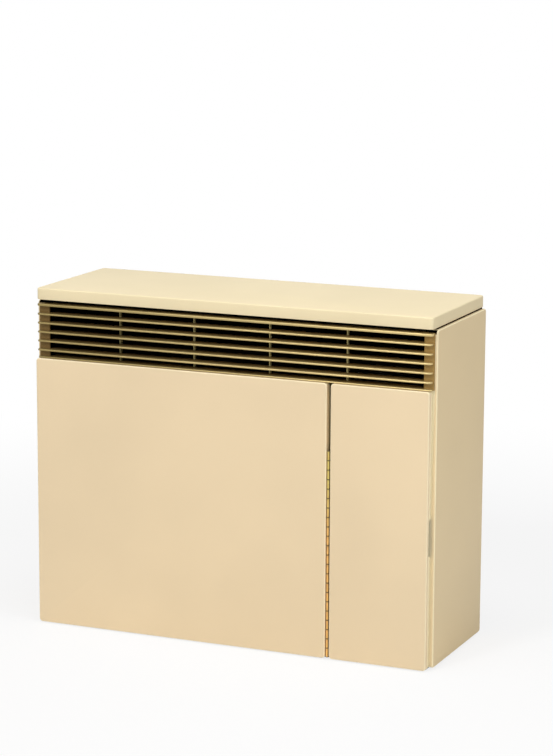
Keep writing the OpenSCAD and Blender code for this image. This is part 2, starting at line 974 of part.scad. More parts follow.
module heat_exchanger() {
    color(frame_grey)
        difference() {
            translate([0, 0, exchanger_z])
                linear_extrude(exchanger_h)
                    exchanger_section(0);
            translate([0, 0, exchanger_z + exchanger_t])
                linear_extrude(exchanger_h - 2 * exchanger_t)
                    exchanger_section(exchanger_t);
            box(
                [exchanger_right - 2 * exchanger_t, plate_front + port_open, plate_z + port_open],
                [exchanger_right + 1, plate_front + plate_w - port_open, plate_z + plate_h - port_open]
            );
            rod_y(
                exchanger_back - 2 * exchanger_t, exchanger_back + 1,
                flue_x, flue_z, flue_r + spigot_clear
            );
            box(
                [flue_x - air_port_w / 2, exchanger_back - 2 * exchanger_t, air_port_z],
                [flue_x + air_port_w / 2, exchanger_back + 1, air_port_z + air_port_h]
            );
            plate_screw_holes(exchanger_right - 2 * exchanger_t, exchanger_right + 1);
        }
}

module exchanger_feet() {
    foot_w = 30;
    foot_in = 70;
    foot_back = 20;
    color(frame_grey)
        for (x = [exchanger_x + foot_in, exchanger_right - foot_in - foot_w])
            difference() {
                box(
                    [x, exchanger_front + foot_back, base_h],
                    [x + foot_w, exchanger_back - foot_back, exchanger_z]
                );
                box(
                    [x + frame_t, exchanger_front + foot_back - 1, base_h + frame_t],
                    [x + foot_w - frame_t, exchanger_back - foot_back + 1, exchanger_z - frame_t]
                );
            }
}

module air_duct() {
    x0 = flue_x - duct_w / 2;
    x1 = flue_x + duct_w / 2;
    color(steel)
        difference() {
            box([x0, exchanger_back, duct_z], [x1, duct_back, duct_top]);
            box(
                [x0 + duct_t, exchanger_back - 1, duct_z + duct_t],
                [x1 - duct_t, duct_back - duct_t, duct_top - duct_t]
            );
            rod_y(duct_back - 3, duct_back + 1, flue_x, flue_z, collar_r - flue_t);
        }
}

module air_collar() {
    color(steel)
        difference() {
            union() {
                rod_y(duct_back, back_y, flue_x, flue_z, collar_r);
                rod_y(duct_back, duct_back + flange_t, flue_x, flue_z, collar_r + 6);
            }
            rod_y(duct_back - 1, back_y + 1, flue_x, flue_z, collar_r - flue_t);
        }
}

module flue_spigot() {
    color(steel)
        difference() {
            union() {
                rod_y(exchanger_back - exchanger_t - 2, back_y, flue_x, flue_z, flue_r);
                rod_y(exchanger_back, exchanger_back + flange_t, flue_x, flue_z, flue_r + 9);
            }
            rod_y(exchanger_back - 9, back_y + 1, flue_x, flue_z, flue_r - flue_t);
        }
}

module flue_baffle() {
    z = exchanger_z + exchanger_h / 2;
    color(steel)
        box(
            [exchanger_x + 30, exchanger_front + exchanger_t, z],
            [exchanger_right - 30, exchanger_back - 36, z + frame_t]
        );
}

// Burner set, drawn out to the right through the hatch in the partition

module main_burner() {
    reach_x = plate_x - mixer_l;
    color(steel)
        difference() {
            union() {
                rod_x(burner_left, plate_x, burner_y, burner_z, burner_r);
                rod_x(plate_x - 2, plate_x, burner_y, burner_z, burner_r + 6);
            }
            rod_x(
                burner_left + 2, plate_x + 1, burner_y, burner_z, burner_r - burner_wall
            );
            for (x = [burner_left + 10 : port_pitch : reach_x - 30])
                box(
                    [x, burner_y - burner_r / 2, burner_z + burner_r / 2],
                    [x + port_w, burner_y + burner_r / 2, burner_z + burner_r + 1]
                );
            rod_y(burner_y - burner_r - 1, burner_y + burner_r + 1, reach_x, burner_z, burner_r / 3);
        }
}

module burner_support() {
    x = burner_left + 24;
    color(steel)
        difference() {
            box(
                [x, burner_y - burner_r - 6, exchanger_z + exchanger_t],
                [x + 3, burner_y + burner_r + 6, burner_z]
            );
            rod_x(x - 1, x + 4, burner_y, burner_z, burner_r);
        }
}

module burner_plate() {
    color(steel)
        difference() {
            box([plate_x, plate_front, plate_z], [plate_face, plate_front + plate_w, plate_z + plate_h]);
            rod_x(plate_x - 1, plate_face + 1, burner_y, burner_z, injector_r + fit_clear);
            rod_x(plate_x - 1, plate_face + 1, burner_y, glass_z, glass_r - 4);
            rod_x(plate_x - 1, plate_face + 1, pilot_y, pilot_z, pilot_r + fit_clear);
            rod_x(plate_x - 1, plate_face + 1, pilot_y, couple_z, couple_r + fit_clear);
            rod_x(plate_x - 1, plate_face + 1, electrode_y, electrode_z, ceramic_r + fit_clear);
            plate_screw_holes(plate_x - 1, plate_face + 1);
        }
}

module plate_gasket() {
    color(black)
        difference() {
            box([gasket_x, plate_front, plate_z], [plate_x, plate_front + plate_w, plate_z + plate_h]);
            box(
                [gasket_x - 1, plate_front + port_open, plate_z + port_open],
                [plate_x + 1, plate_front + plate_w - port_open, plate_z + plate_h - port_open]
            );
            plate_screw_holes(gasket_x - 1, plate_x + 1);
        }
}

module plate_screws() {
    color(steel)
        for (y = [plate_front + plate_screw_in, plate_front + plate_w - plate_screw_in])
            for (z = [plate_z + plate_screw_in, plate_z + plate_h - plate_screw_in]) {
                rod_x(exchanger_right - exchanger_t - 2, plate_face, y, z, plate_screw_r);
                hex_x(plate_face, plate_face + 3.5, y, z, 4.6);
            }
}

injector_r = 6;
injector_hex = 9;
injector_end = plate_face + injector_hex;
pilot_r = 3;
couple_r = 2;
ceramic_r = 4;
nut_l = 8;
burner_tube_r = 5;
pilot_tube_r = 2;
couple_lead_r = 1.5;
lead_r = 2.5;

module injector() {
    color(brass)
        difference() {
            union() {
                rod_x(plate_x - 10, plate_face, burner_y, burner_z, injector_r);
                hex_x(plate_face, injector_end, burner_y, burner_z, 9);
            }
            rod_x(plate_x - 11, plate_face + 3, burner_y, burner_z, 0.8);
            rod_x(plate_face + 2, injector_end + 1, burner_y, burner_z, 3);
        }
}

module sight_glass() {
    color([0.7, 0.8, 0.82])
        rod_x(plate_face, plate_face + glass_t, burner_y, glass_z, glass_r);
}

module sight_glass_ring() {
    color(brass)
        difference() {
            rod_x(plate_face, plate_face + glass_t + 2, burner_y, glass_z, glass_r + 4);
            rod_x(plate_face - 1, plate_face + glass_t, burner_y, glass_z, glass_r);
            rod_x(plate_face, plate_face + glass_t + 3, burner_y, glass_z, glass_r - 3);
        }
}

module pilot_burner() {
    color(brass)
        difference() {
            union() {
                rod_x(pilot_x, plate_face + 3, pilot_y, pilot_z, pilot_r);
                rod_z(pilot_z - 6, pilot_z + 9, pilot_x, pilot_y, pilot_r + 2);
                rod_x(plate_face, plate_face + 3, pilot_y, pilot_z, pilot_r + 2);
            }
            rod_z(pilot_z + 2, pilot_z + 10, pilot_x, pilot_y, pilot_r);
        }
}

module thermocouple() {
    route = [
        [plate_face + 9, pilot_y, couple_z],
        [valve_x - 4, pilot_y, couple_z],
        [valve_x - 4, pipe_y, couple_z],
        [valve_x + 18, pipe_y, couple_z],
        [valve_x + 18, pipe_y, valve_z - nut_l / 2]
    ];
    color(brass)
        union() {
            rod_x(pilot_x - 4, plate_face + 2, pilot_y, couple_z, couple_r);
            hex_x(plate_face, plate_face + 9, pilot_y, couple_z, 4.5);
            bent_tube(route, couple_lead_r, 6);
        }
}

module ignition_electrode() {
    color("white")
        union() {
            rod_x(pilot_x + 10, plate_face + 16, electrode_y, electrode_z, ceramic_r);
            rod_x(pilot_x + 2, pilot_x + 11, electrode_y, electrode_z, 1);
            rod_z(electrode_z - 1, pilot_z - 7, pilot_x + 3, electrode_y, 1);
            rod_x(plate_face, plate_face + 3, electrode_y, electrode_z, ceramic_r + 2);
        }
}

module ignition_lead() {
    color("firebrick")
        bent_tube([
            [button_x, piezo_back, knob_z],
            [button_x, electrode_y, knob_z],
            [button_x, electrode_y, electrode_z],
            [plate_face + 16, electrode_y, electrode_z]
        ], lead_r, 7);
}

module pilot_tube() {
    color(brass)
        bent_tube([
            [plate_face + 3, pilot_y, pilot_z],
            [valve_x - 14, pilot_y, pilot_z],
            [valve_x - 14, pipe_y, pilot_z],
            [valve_x + 34, pipe_y, pilot_z],
            [valve_x + 34, pipe_y, valve_z - nut_l / 2]
        ], pilot_tube_r, 8);
}

module burner_tube() {
    color(brass)
        bent_tube([
            [injector_end, burner_y, burner_z],
            [wall_x + 6, burner_y, burner_z],
            [wall_x + 6, outlet_y, outlet_z],
            [valve_x - 8, outlet_y, outlet_z]
        ], burner_tube_r, 8);
}

// Union nuts at the ends of the gas tubes and the thermocouple
module tube_nuts() {
    valve_end = valve_x - 8;
    color(brass) {
        difference() {
            hex_x(injector_end, injector_end + nut_l, burner_y, burner_z, 9);
            rod_x(injector_end - 1, injector_end + nut_l + 1, burner_y, burner_z, burner_tube_r);
        }
        difference() {
            hex_x(valve_end - nut_l, valve_end, outlet_y, outlet_z, 9);
            rod_x(valve_end - nut_l - 1, valve_end + 1, outlet_y, outlet_z, burner_tube_r);
        }
        difference() {
            hex_z(valve_z - nut_l, valve_z, valve_x + 18, pipe_y, 5);
            rod_z(valve_z - nut_l - 1, valve_z - nut_l / 2, valve_x + 18, pipe_y, couple_lead_r);
        }
        difference() {
            hex_z(valve_z - nut_l, valve_z, valve_x + 34, pipe_y, 5);
            rod_z(valve_z - nut_l - 1, valve_z - nut_l / 2, valve_x + 34, pipe_y, pilot_tube_r);
        }
        difference() {
            hex_x(plate_face + 3, plate_face + 3 + nut_l, pilot_y, pilot_z, 5);
            rod_x(plate_face + 2, plate_face + 4 + nut_l, pilot_y, pilot_z, pilot_tube_r);
        }
    }
}

// Gas controls

valve_screws_xz = [for (x = [valve_x + 10, valve_right - 10], z = [valve_z + 10, valve_top - 10]) [x, z]];
tab_z = [fascia_low + 16, fascia_top - 16];

module gas_valve() {
    color(steel)
        difference() {
            union() {
                translate([valve_x, bracket_y, valve_top])
                    rotate([90, 0, 0])
                        mirror([0, 1, 0])
                            linear_extrude(bracket_y - valve_y)
                                rounded_rect(valve_w, valve_h, 6);
                rod_y(boss_y, valve_y + 1, knob_x, knob_z, boss_r);
                rod_x(valve_x - 8, valve_x + 1, outlet_y, outlet_z, 11);
                rod_z(inlet_top, valve_z + 1, inlet_x, inlet_y, 15);
                rod_z(valve_top - 1, valve_top + 10, valve_x + 22, tower_y, 17);
                rod_z(valve_top - 1, valve_top + 6, valve_right - 16, tower_y, 8);
                rod_x(valve_right - 1, valve_right + 5, sensor_y, sensor_exit_z, 7);
            }
            rod_y(boss_y - 1, seat_y, knob_x, knob_z, seat_r);
            rod_y(seat_y - 1, sleeve_end + knob_travel + 4, knob_x, knob_z, sleeve_r + run_clear);
            for (p = valve_screws_xz)
                rod_y(bracket_y - 8, bracket_y + 1, p[0], p[1], plate_screw_r);
        }
}

module valve_bracket() {
    foot_d = 26;
    tab_w = 12;
    window = 12;
    color(frame_grey)
        difference() {
            union() {
                box(
                    [bracket_left, bracket_y, base_h],
                    [bracket_right, bracket_y + bracket_t, fascia_top - 8]
                );
                box(
                    [bracket_left, bracket_y, base_h],
                    [bracket_right, bracket_y + foot_d, base_h + bracket_t]
                );
                for (x = [bracket_left, bracket_right - bracket_t])
                    box([x, fascia_back, fascia_low + 8], [x + bracket_t, bracket_y + 1, fascia_top - 8]);
                for (z = tab_z, x = [bracket_left, bracket_right - tab_w])
                    box([x, fascia_back, z - 8], [x + tab_w, fascia_back + bracket_t, z + 8]);
            }
            box(
                [bracket_left - 1, fascia_back + window, fascia_low + 20],
                [bracket_right + 1, bracket_y - 5, fascia_top - 20]
            );
            box(
                [bracket_left - 1, bracket_y - 1, pilot_z - 8],
                [valve_x + 4, bracket_y + bracket_t + 1, couple_z + 8]
            );
            rod_y(bracket_y - 1, bracket_y + bracket_t + 1, button_x, knob_z, lead_r + 3.5);
            for (p = valve_screws_xz)
                rod_y(bracket_y - 1, bracket_y + bracket_t + 1, p[0], p[1], plate_screw_r);
            fascia_screw_holes();
        }
}

module fascia_screw_holes() {
    for (z = tab_z, x = [bracket_left + 6.5, bracket_right - 6.5])
        rod_y(fascia_y - 1, fascia_back + bracket_t + 1, x, z, rear_screw_r);
}

module fascia_screws() {
    color(steel)
        for (z = tab_z, x = [bracket_left + 6.5, bracket_right - 6.5]) {
            rod_y(fascia_y, fascia_back + bracket_t + 2, x, z, rear_screw_r);
            rod_y(fascia_y - screw_head, fascia_y, x, z, 3.8);
        }
}

module valve_screws() {
    color(steel)
        for (p = valve_screws_xz) {
            rod_y(bracket_y - 8, bracket_y + bracket_t, p[0], p[1], plate_screw_r);
            rod_y(bracket_y + bracket_t, bracket_y + bracket_t + 3, p[0], p[1], 4.5);
        }
}

module gas_inlet() {
    color(brass)
        difference() {
            union() {
                rod_z(inlet_end, inlet_top - union_h, inlet_x, inlet_y, inlet_r);
                rod_z(inlet_top - union_h - 1, inlet_top, inlet_x, inlet_y, inlet_neck_r);
                rod_z(inlet_top - 4, inlet_top, inlet_x, inlet_y, inlet_r + 2);
            }
            rod_z(inlet_end - 1, inlet_top + 1, inlet_x, inlet_y, inlet_r - 2.5);
        }
}

module inlet_union() {
    color(brass)
        difference() {
            hex_z(inlet_top - union_h, inlet_top - 4, inlet_x, inlet_y, inlet_r + 7);
            rod_z(inlet_top - union_h - 1, inlet_top - 3, inlet_x, inlet_y, inlet_neck_r);
        }
}

// The sleeve moves in and out with the knob but doesn't turn with it
module spindle_sleeve() {
    color(brass)
        difference() {
            union() {
                rod_y(knob_back, sleeve_end, knob_x, knob_z, sleeve_r);
                rod_y(knob_back, collar_y, knob_x, knob_z, seat_r + 1);
            }
            rod_y(knob_back - 1, sleeve_end + 1, knob_x, knob_z, spindle_r + run_clear);
        }
}

module knob_spring() {
    color(steel)
        translate([knob_x, seat_y, knob_z])
            rotate([90, 0, 0])
                wound_spring((sleeve_r + seat_r) / 2, 0.6, seat_y - collar_y, 6);
}

module valve_spindle() {
    color(steel)
        rod_y(knob_back - knob_bore_d, sleeve_end + 2, knob_x, knob_z, spindle_r);
}

module control_knob() {
    flute_count = 16;
    color(black)
        difference() {
            union() {
                rod_y(knob_back - knob_d, knob_back, knob_x, knob_z, knob_r);
                translate([knob_x - 4, knob_back - knob_d - grip_d, knob_z - knob_r + 2])
                    cube([8, grip_d + 1, 2 * knob_r - 4]);
            }
            for (i = [0 : flute_count - 1])
                translate([knob_x, 0, knob_z])
                    rotate([0, (i + 0.5) * 360 / flute_count, 0])
                        rod_y(knob_back - knob_d - 1, knob_back - 4, knob_r + 1, 0, 2.2);
            rod_y(knob_back - knob_bore_d, knob_back + 1, knob_x, knob_z, spindle_r);
        }
}

module control_fascia() {
    color([0.2, 0.2, 0.2])
        difference() {
            translate([fascia_left, fascia_back, fascia_low])
                rotate([90, 0, 0])
                    linear_extrude(fascia_t)
                        rounded_rect(fascia_right - fascia_left, fascia_top - fascia_low, 6);
            rod_y(fascia_y - 1, fascia_back + 1, knob_x, knob_z, boss_r);
            rod_y(fascia_y - 1, fascia_back + 1, button_x, knob_z, piezo_r + fit_clear);
            fascia_screw_holes();
        }
}

module piezo_igniter() {
    color(black)
        difference() {
            union() {
                rod_y(fascia_y - 1, piezo_back, button_x, knob_z, piezo_r);
                rod_y(fascia_y - bezel_t, fascia_y, button_x, knob_z, piezo_r + 4);
                rod_y(fascia_back, fascia_back + 3.5, button_x, knob_z, piezo_r + 4);
            }
            rod_y(fascia_y - bezel_t - 1, button_bore_end, button_x, knob_z, button_r + run_clear);
        }
}

module piezo_button() {
    color("firebrick")
        union() {
            rod_y(button_front + 1, button_back, button_x, knob_z, button_r);
            rod_y(button_front, button_front + 1, button_x, knob_z, button_r - 1);
        }
}

module piezo_spring() {
    color(steel)
        translate([button_x, button_bore_end, knob_z])
            rotate([90, 0, 0])
                wound_spring(button_r - 1.5, 0.5, button_bore_end - button_back, 5);
}

// Sensor of the thermostat, its fine tube and the two clips on the side panel
module room_sensor() {
    color(brass)
        union() {
            rod_z(sensor_z, sensor_z + sensor_l, sensor_x, sensor_y, sensor_r);
            bent_tube([
                [valve_right + 5, sensor_y, sensor_exit_z],
                [sensor_x, sensor_y, sensor_exit_z],
                [sensor_x, sensor_y, sensor_z + sensor_l]
            ], sensor_tail, 8);
            for (z = [sensor_z + 12, sensor_z + sensor_l - 20]) {
                rod_z(z, z + 8, sensor_x, sensor_y, sensor_r + 1.2);
                box([sensor_x, sensor_y - 3, z], [side_inner, sensor_y + 3, z + 8]);
            }
        }
}

module rear_screws() {
    color(steel)
        for (x = [-rear_screw_x, rear_screw_x], z = rear_screws_z)
            rear_screw(x, z, plate_y - 6);
}

base_tray();
back_frame();
front_frame();
side_panel_left();
side_panel_right();
top_cover();
cover_pads();
air_deflector();
air_grille();
front_panel();
panel_hooks();
control_door();
hinge_leaf_frame();
hinge_leaf_door();
hinge_pin();
hinge_rivets_frame();
hinge_rivets_door();
magnet_catch();
strike_plate();
door_buffers();
partition();
compartment_roof();
rear_heat_shield();
heat_exchanger();
exchanger_feet();
air_duct();
air_collar();
flue_spigot();
flue_baffle();
main_burner();
burner_support();
burner_plate();
plate_gasket();
plate_screws();
injector();
sight_glass();
sight_glass_ring();
pilot_burner();
thermocouple();
ignition_electrode();
ignition_lead();
pilot_tube();
burner_tube();
tube_nuts();
gas_valve();
valve_bracket();
valve_screws();
gas_inlet();
inlet_union();
spindle_sleeve();
knob_spring();
valve_spindle();
control_knob();
control_fascia();
fascia_screws();
piezo_igniter();
piezo_button();
piezo_spring();
room_sensor();
rear_screws();
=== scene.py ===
"""Looks of a gas convector heater with a room-sealed wall flue.

Everything is in metres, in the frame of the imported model: X to the right of someone who
faces the heater, Y towards the wall, Z up, with the floor at Z = 0.
"""
import json
import logging
import math
from collections.abc import Callable, Iterator, Sequence
from contextlib import contextmanager
from dataclasses import dataclass
from enum import Enum
from functools import cache

import bmesh
import bpy
from mathutils import Matrix, Vector


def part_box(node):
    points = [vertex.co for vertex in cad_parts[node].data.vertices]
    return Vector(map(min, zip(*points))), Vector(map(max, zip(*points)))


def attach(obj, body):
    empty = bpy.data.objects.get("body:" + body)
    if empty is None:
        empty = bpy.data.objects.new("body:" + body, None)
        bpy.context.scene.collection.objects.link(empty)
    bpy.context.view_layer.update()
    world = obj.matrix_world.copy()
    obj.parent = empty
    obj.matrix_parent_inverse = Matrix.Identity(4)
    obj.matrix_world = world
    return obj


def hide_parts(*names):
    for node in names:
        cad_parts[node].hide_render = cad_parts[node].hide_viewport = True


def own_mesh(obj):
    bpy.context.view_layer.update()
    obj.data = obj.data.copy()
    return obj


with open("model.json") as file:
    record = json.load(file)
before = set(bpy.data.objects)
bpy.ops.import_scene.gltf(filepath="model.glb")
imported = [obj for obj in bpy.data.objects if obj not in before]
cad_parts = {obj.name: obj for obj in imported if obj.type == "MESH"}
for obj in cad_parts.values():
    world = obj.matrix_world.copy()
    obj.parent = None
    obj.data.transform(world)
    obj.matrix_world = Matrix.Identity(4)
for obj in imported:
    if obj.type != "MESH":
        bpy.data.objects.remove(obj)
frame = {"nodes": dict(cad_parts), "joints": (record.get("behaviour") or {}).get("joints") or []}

LOG = logging.getLogger("heater")
MM = 0.001
# Places closer than this, in metres, count as one
NEAR = 2e-5
SMOOTH_UNDER = math.radians(35)
SHARP_OVER = math.radians(40)
FOLD = "fold"
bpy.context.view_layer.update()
X, Y, Z = range(3)
X_AXIS, Y_AXIS, Z_AXIS = Vector((1, 0, 0)), Vector((0, 1, 0)), Vector((0, 0, 1))

Colour = tuple[float, float, float]
Sockets = dict[str | int, object]
EdgeTest = Callable[[Vector, Vector], bool]
FaceTest = Callable[[Vector, Vector], bool]


class Body(Enum):
    """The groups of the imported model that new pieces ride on."""

    CASING = "casing"
    DOOR = "door"
    KNOB = "knob"
    BUTTON = "igniter_button"


def linear(colour: Colour) -> tuple[float, float, float, float]:
    """Turn an sRGB colour into the linear values that a shader socket takes.

    Args:
        colour: Red, green and blue from 0 to 1, as a screen shows them.

    Returns:
        Linear red, green and blue, and an alpha of one.
    """
    parts = [c / 12.92 if c <= 0.04045 else ((c + 0.055) / 1.055) ** 2.4 for c in colour]
    return (parts[0], parts[1], parts[2], 1.0)


def shaded(colour: Colour, factor: float) -> Colour:
    """Scale a colour's brightness, kept within what a surface can be."""
    return tuple(min(1.0, c * factor) for c in colour)


# Shader building


class Wire:
    """A socket of a node tree that takes part in Python arithmetic."""

    def __init__(self, sheet: "ShaderSheet", socket: bpy.types.NodeSocket | None) -> None:
        """Keep the socket and the sheet that new nodes go on."""
        self.sheet = sheet
        self.socket = socket

    def _math(self, operation: str, first: "Wire | float", second: "Wire | float") -> "Wire":
        """Add one Math node.

        Args:
            operation: The Math node's operation.
            first: Its first value.
            second: Its second value.

        Returns:
            The node's result.
        """
        return self.sheet.add(
            "ShaderNodeMath", {"operation": operation}, {0: first, 1: second}
        )

    def __add__(self, other: "Wire | float") -> "Wire":
        """Sum."""
        return self._math("ADD", self, other)

    def __radd__(self, other: float) -> "Wire":
        """Sum with a number on the left."""
        return self._math("ADD", other, self)

    def __sub__(self, other: "Wire | float") -> "Wire":
        """Difference."""
        return self._math("SUBTRACT", self, other)

    def __rsub__(self, other: float) -> "Wire":
        """Difference from a number on the left."""
        return self._math("SUBTRACT", other, self)

    def __mul__(self, other: "Wire | float") -> "Wire":
        """Product."""
        return self._math("MULTIPLY", self, other)

    def __rmul__(self, other: float) -> "Wire":
        """Product with a number on the left."""
        return self._math("MULTIPLY", other, self)

    def __truediv__(self, other: "Wire | float") -> "Wire":
        """Quotient."""
        return self._math("DIVIDE", self, other)

    def fract(self) -> "Wire":
        """The part after the decimal point."""
        return self._math("FRACT", self, 0.0)

    def size(self) -> "Wire":
        """The value without its sign."""
        return self._math("ABSOLUTE", self, 0.0)

    def most(self, other: "Wire | float") -> "Wire":
        """The larger of two values."""
        return self._math("MAXIMUM", self, other)

    def ramp(self, low: float, high: float) -> "Wire":
        """Rise smoothly from zero at low to one at high.

        Args:
            low: The value that gives zero.
            high: The value that gives one.

        Returns:
            The eased value.
        """
        return self.sheet.add(
            "ShaderNodeMapRange",
            {"interpolation_type": "SMOOTHSTEP", "clamp": True},
            {"Value": self, "From Min": low, "From Max": high},
        )


class ShaderSheet:
    """The node tree of a material or a world, while it is laid out."""

    def __init__(self, owner: bpy.types.Material | bpy.types.World) -> None:
        """Start from an empty tree.

        Args:
            owner: The new material or world.
        """
        owner.use_nodes = True
        self.tree = owner.node_tree
        self.tree.nodes.clear()

    def add(
        self,
        kind: str,
        settings: dict[str, object] | None = None,
        sockets: Sockets | None = None,
        result: str | int = 0,
    ) -> Wire:
        """Add a node.

        Args:
            kind: The node's type.
            settings: Properties that are set before the sockets.
            sockets: Values or wires by socket name or number.
            result: The output that is wanted.

        Returns:
            A wire from that output.
        """
        node = self.tree.nodes.new(kind)
        for key, value in (settings or {}).items():
            setattr(node, key, value)
        for key, value in (sockets or {}).items():
            if isinstance(value, Wire):
                self.tree.links.new(value.socket, node.inputs[key])
            else:
                node.inputs[key].default_value = value
        return Wire(self, node.outputs[result] if node.outputs else None)

    def place(self) -> Wire:
        """The point on the piece, in the frame's metres."""
        return self.add("ShaderNodeTexCoord", result="Object")

    def axis(self, name: str) -> Wire:
        """One coordinate of the point on the piece, by its letter."""
        return self.add("ShaderNodeSeparateXYZ", sockets={"Vector": self.place()}, result=name)

    def noise(
        self, scale: float, detail: float = 2.0, stretch: Sequence[float] = (1, 1, 1)
    ) -> Wire:
        """Soft random pattern.

        Args:
            scale: Features per metre.
            detail: Octaves of finer pattern.
            stretch: Scale factor for each axis.

        Returns:
            A value about one half.
        """
        spot = self.add(
            "ShaderNodeMapping", sockets={"Vector": self.place(), "Scale": tuple(stretch)}
        )
        return self.add(
            "ShaderNodeTexNoise", sockets={"Vector": spot, "Scale": scale, "Detail": detail}
        )

    def cells(self, scale: float, result: str = "Distance") -> Wire:
        """Random cells, such as the spangle of galvanised sheet.

        Args:
            scale: Cells per metre.
            result: Distance to the cell's centre, or its Color.

        Returns:
            The chosen output.
        """
        return self.add(
            "ShaderNodeTexVoronoi", sockets={"Vector": self.place(), "Scale": scale}, result=result
        )

    def tint(self, share: Wire, first: Colour | Wire, second: Colour | Wire) -> Wire:
        """Mix two colours.

        Args:
            share: How much of the second colour there is.
            first: The colour at zero.
            second: The colour at one.

        Returns:
            The mixed colour.
        """
        ends = [c if isinstance(c, Wire) else linear(c) for c in (first, second)]
        return self.add(
            "ShaderNodeMix", {"data_type": "RGBA"}, {0: share, 6: ends[0], 7: ends[1]}, result=2
        )

    def bump(self, height: Wire, depth: float, under: Wire | None = None) -> Wire:
        """Turn a height pattern into a surface direction.

        Args:
            height: The pattern, from 0 to 1.
            depth: Its depth in metres.
            under: A bump that this one lies on.

        Returns:
            The bent normal.
        """
        sockets: Sockets = {"Height": height, "Distance": depth, "Strength": 1.0}
        if under is not None:
            sockets["Normal"] = under
        return self.add("ShaderNodeBump", sockets=sockets)


# Finishes


@dataclass(frozen=True)
class Finish:
    """A surface finish, made into one material however many pieces wear it."""

    name: str
    colour: Colour

    @cache
    def material(self) -> bpy.types.Material:
        """Make the finish's material on first use.

        Returns:
            The material that every piece with this finish shares.
        """
        material = bpy.data.materials.new(self.name)
        sheet = ShaderSheet(material)
        shader = sheet.add("ShaderNodeBsdfPrincipled", sockets=self._surface(sheet))
        sheet.add("ShaderNodeOutputMaterial", sockets={"Surface": shader})
        return material

    def _surface(self, sheet: ShaderSheet) -> Sockets:
        """The shader's sockets, laid out on a sheet."""
        raise NotImplementedError


@dataclass(frozen=True)
class StoveEnamel(Finish):
    """Stoved enamel on sheet steel: faint orange peel, soft gloss, and a painted highlight on the
    rounded folds.
    """

    roughness: float = 0.42
    peel: float = 1.6e-5
    gloss: float = 0.2
    fold_highlight_share: float = 0.0
    fold_highlight_colour: Colour = (1.0, 0.96, 0.82)

    def _surface(self, sheet: ShaderSheet) -> Sockets:
        """Lay specks, slow waves and orange peel over the colour, and paint a highlight on the
        rounded folds.

        Args:
            sheet: The material's sheet.

        Returns:
            The shader's sockets.
        """
        drift = sheet.noise(4.0, 2.0)
        speck = sheet.noise(1500.0, 1.0)
        tone = sheet.tint(drift.ramp(0.3, 0.7), self.colour, shaded(self.colour, 0.975))
        colour = sheet.tint(speck.ramp(0.62, 0.8) * 0.35, tone, shaded(self.colour, 0.9))
        # Painted highlight: rounded folds turn paler, standing in for the light that they catch.
        fold = sheet.add("ShaderNodeAttribute", {"attribute_name": FOLD}, result="Fac")
        colour = sheet.tint(fold.ramp(0.1, 0.85) * self.fold_highlight_share, colour, self.fold_highlight_colour)
        wave = sheet.bump(sheet.noise(9.0, 1.0), 2.2e-4)
        return {
            "Base Color": colour,
            "Roughness": self.roughness + (drift - 0.5) * 0.1 + (speck - 0.5) * 0.08,
            "Specular IOR Level": self.gloss,
            "Normal": sheet.bump(sheet.noise(420.0, 2.0), self.peel, wave),
        }


class Grain(Enum):
    """How a metal surface was worked."""

    ROLLED = "rolled"
    SPANGLED = "spangled"
    CAST = "cast"
    TURNED = "turned"
    DRAWN = "drawn"


@dataclass(frozen=True)
class Metal(Finish):
    """Bare or plated metal with the grain of how it was worked."""

    grain: Grain = Grain.ROLLED
    roughness: float = 0.32
    stain: Colour = (0.4, 0.38, 0.35)
    stain_share: float = 0.25

    def _surface(self, sheet: ShaderSheet) -> Sockets:
        """Give the metal its grain, and stain it in patches.

        Args:
            sheet: The material's sheet.

        Returns:
            The shader's sockets.
        """
        patch = sheet.noise(28.0, 4.0)
        if self.grain is Grain.SPANGLED:
            cell = sheet.cells(130.0, "Color")
            shade = sheet.add("ShaderNodeSeparateColor", sockets={"Color": cell})
            pattern, depth = shade, 4e-6
        elif self.grain is Grain.CAST:
            pattern, depth = sheet.noise(900.0, 3.0), 9e-5
        elif self.grain is Grain.TURNED:
            pattern, depth = sheet.noise(260.0, 2.0, (1, 9, 1)), 1.2e-5
        elif self.grain is Grain.DRAWN:
            pattern, depth = sheet.noise(160.0, 3.0, (1, 3, 3)), 2e-5
        else:
            pattern, depth = sheet.noise(240.0, 3.0, (0.12, 1, 1)), 8e-6
        base = sheet.tint(pattern, shaded(self.colour, 0.86), shaded(self.colour, 1.08))
        colour = sheet.tint(patch.ramp(0.52, 0.75) * self.stain_share, base, self.stain)
        return {
            "Base Color": colour,
            "Metallic": 0.92,
            "Roughness": self.roughness + (pattern - 0.5) * 0.14 + (patch - 0.5) * 0.12,
            "Normal": sheet.bump(pattern, depth),
        }


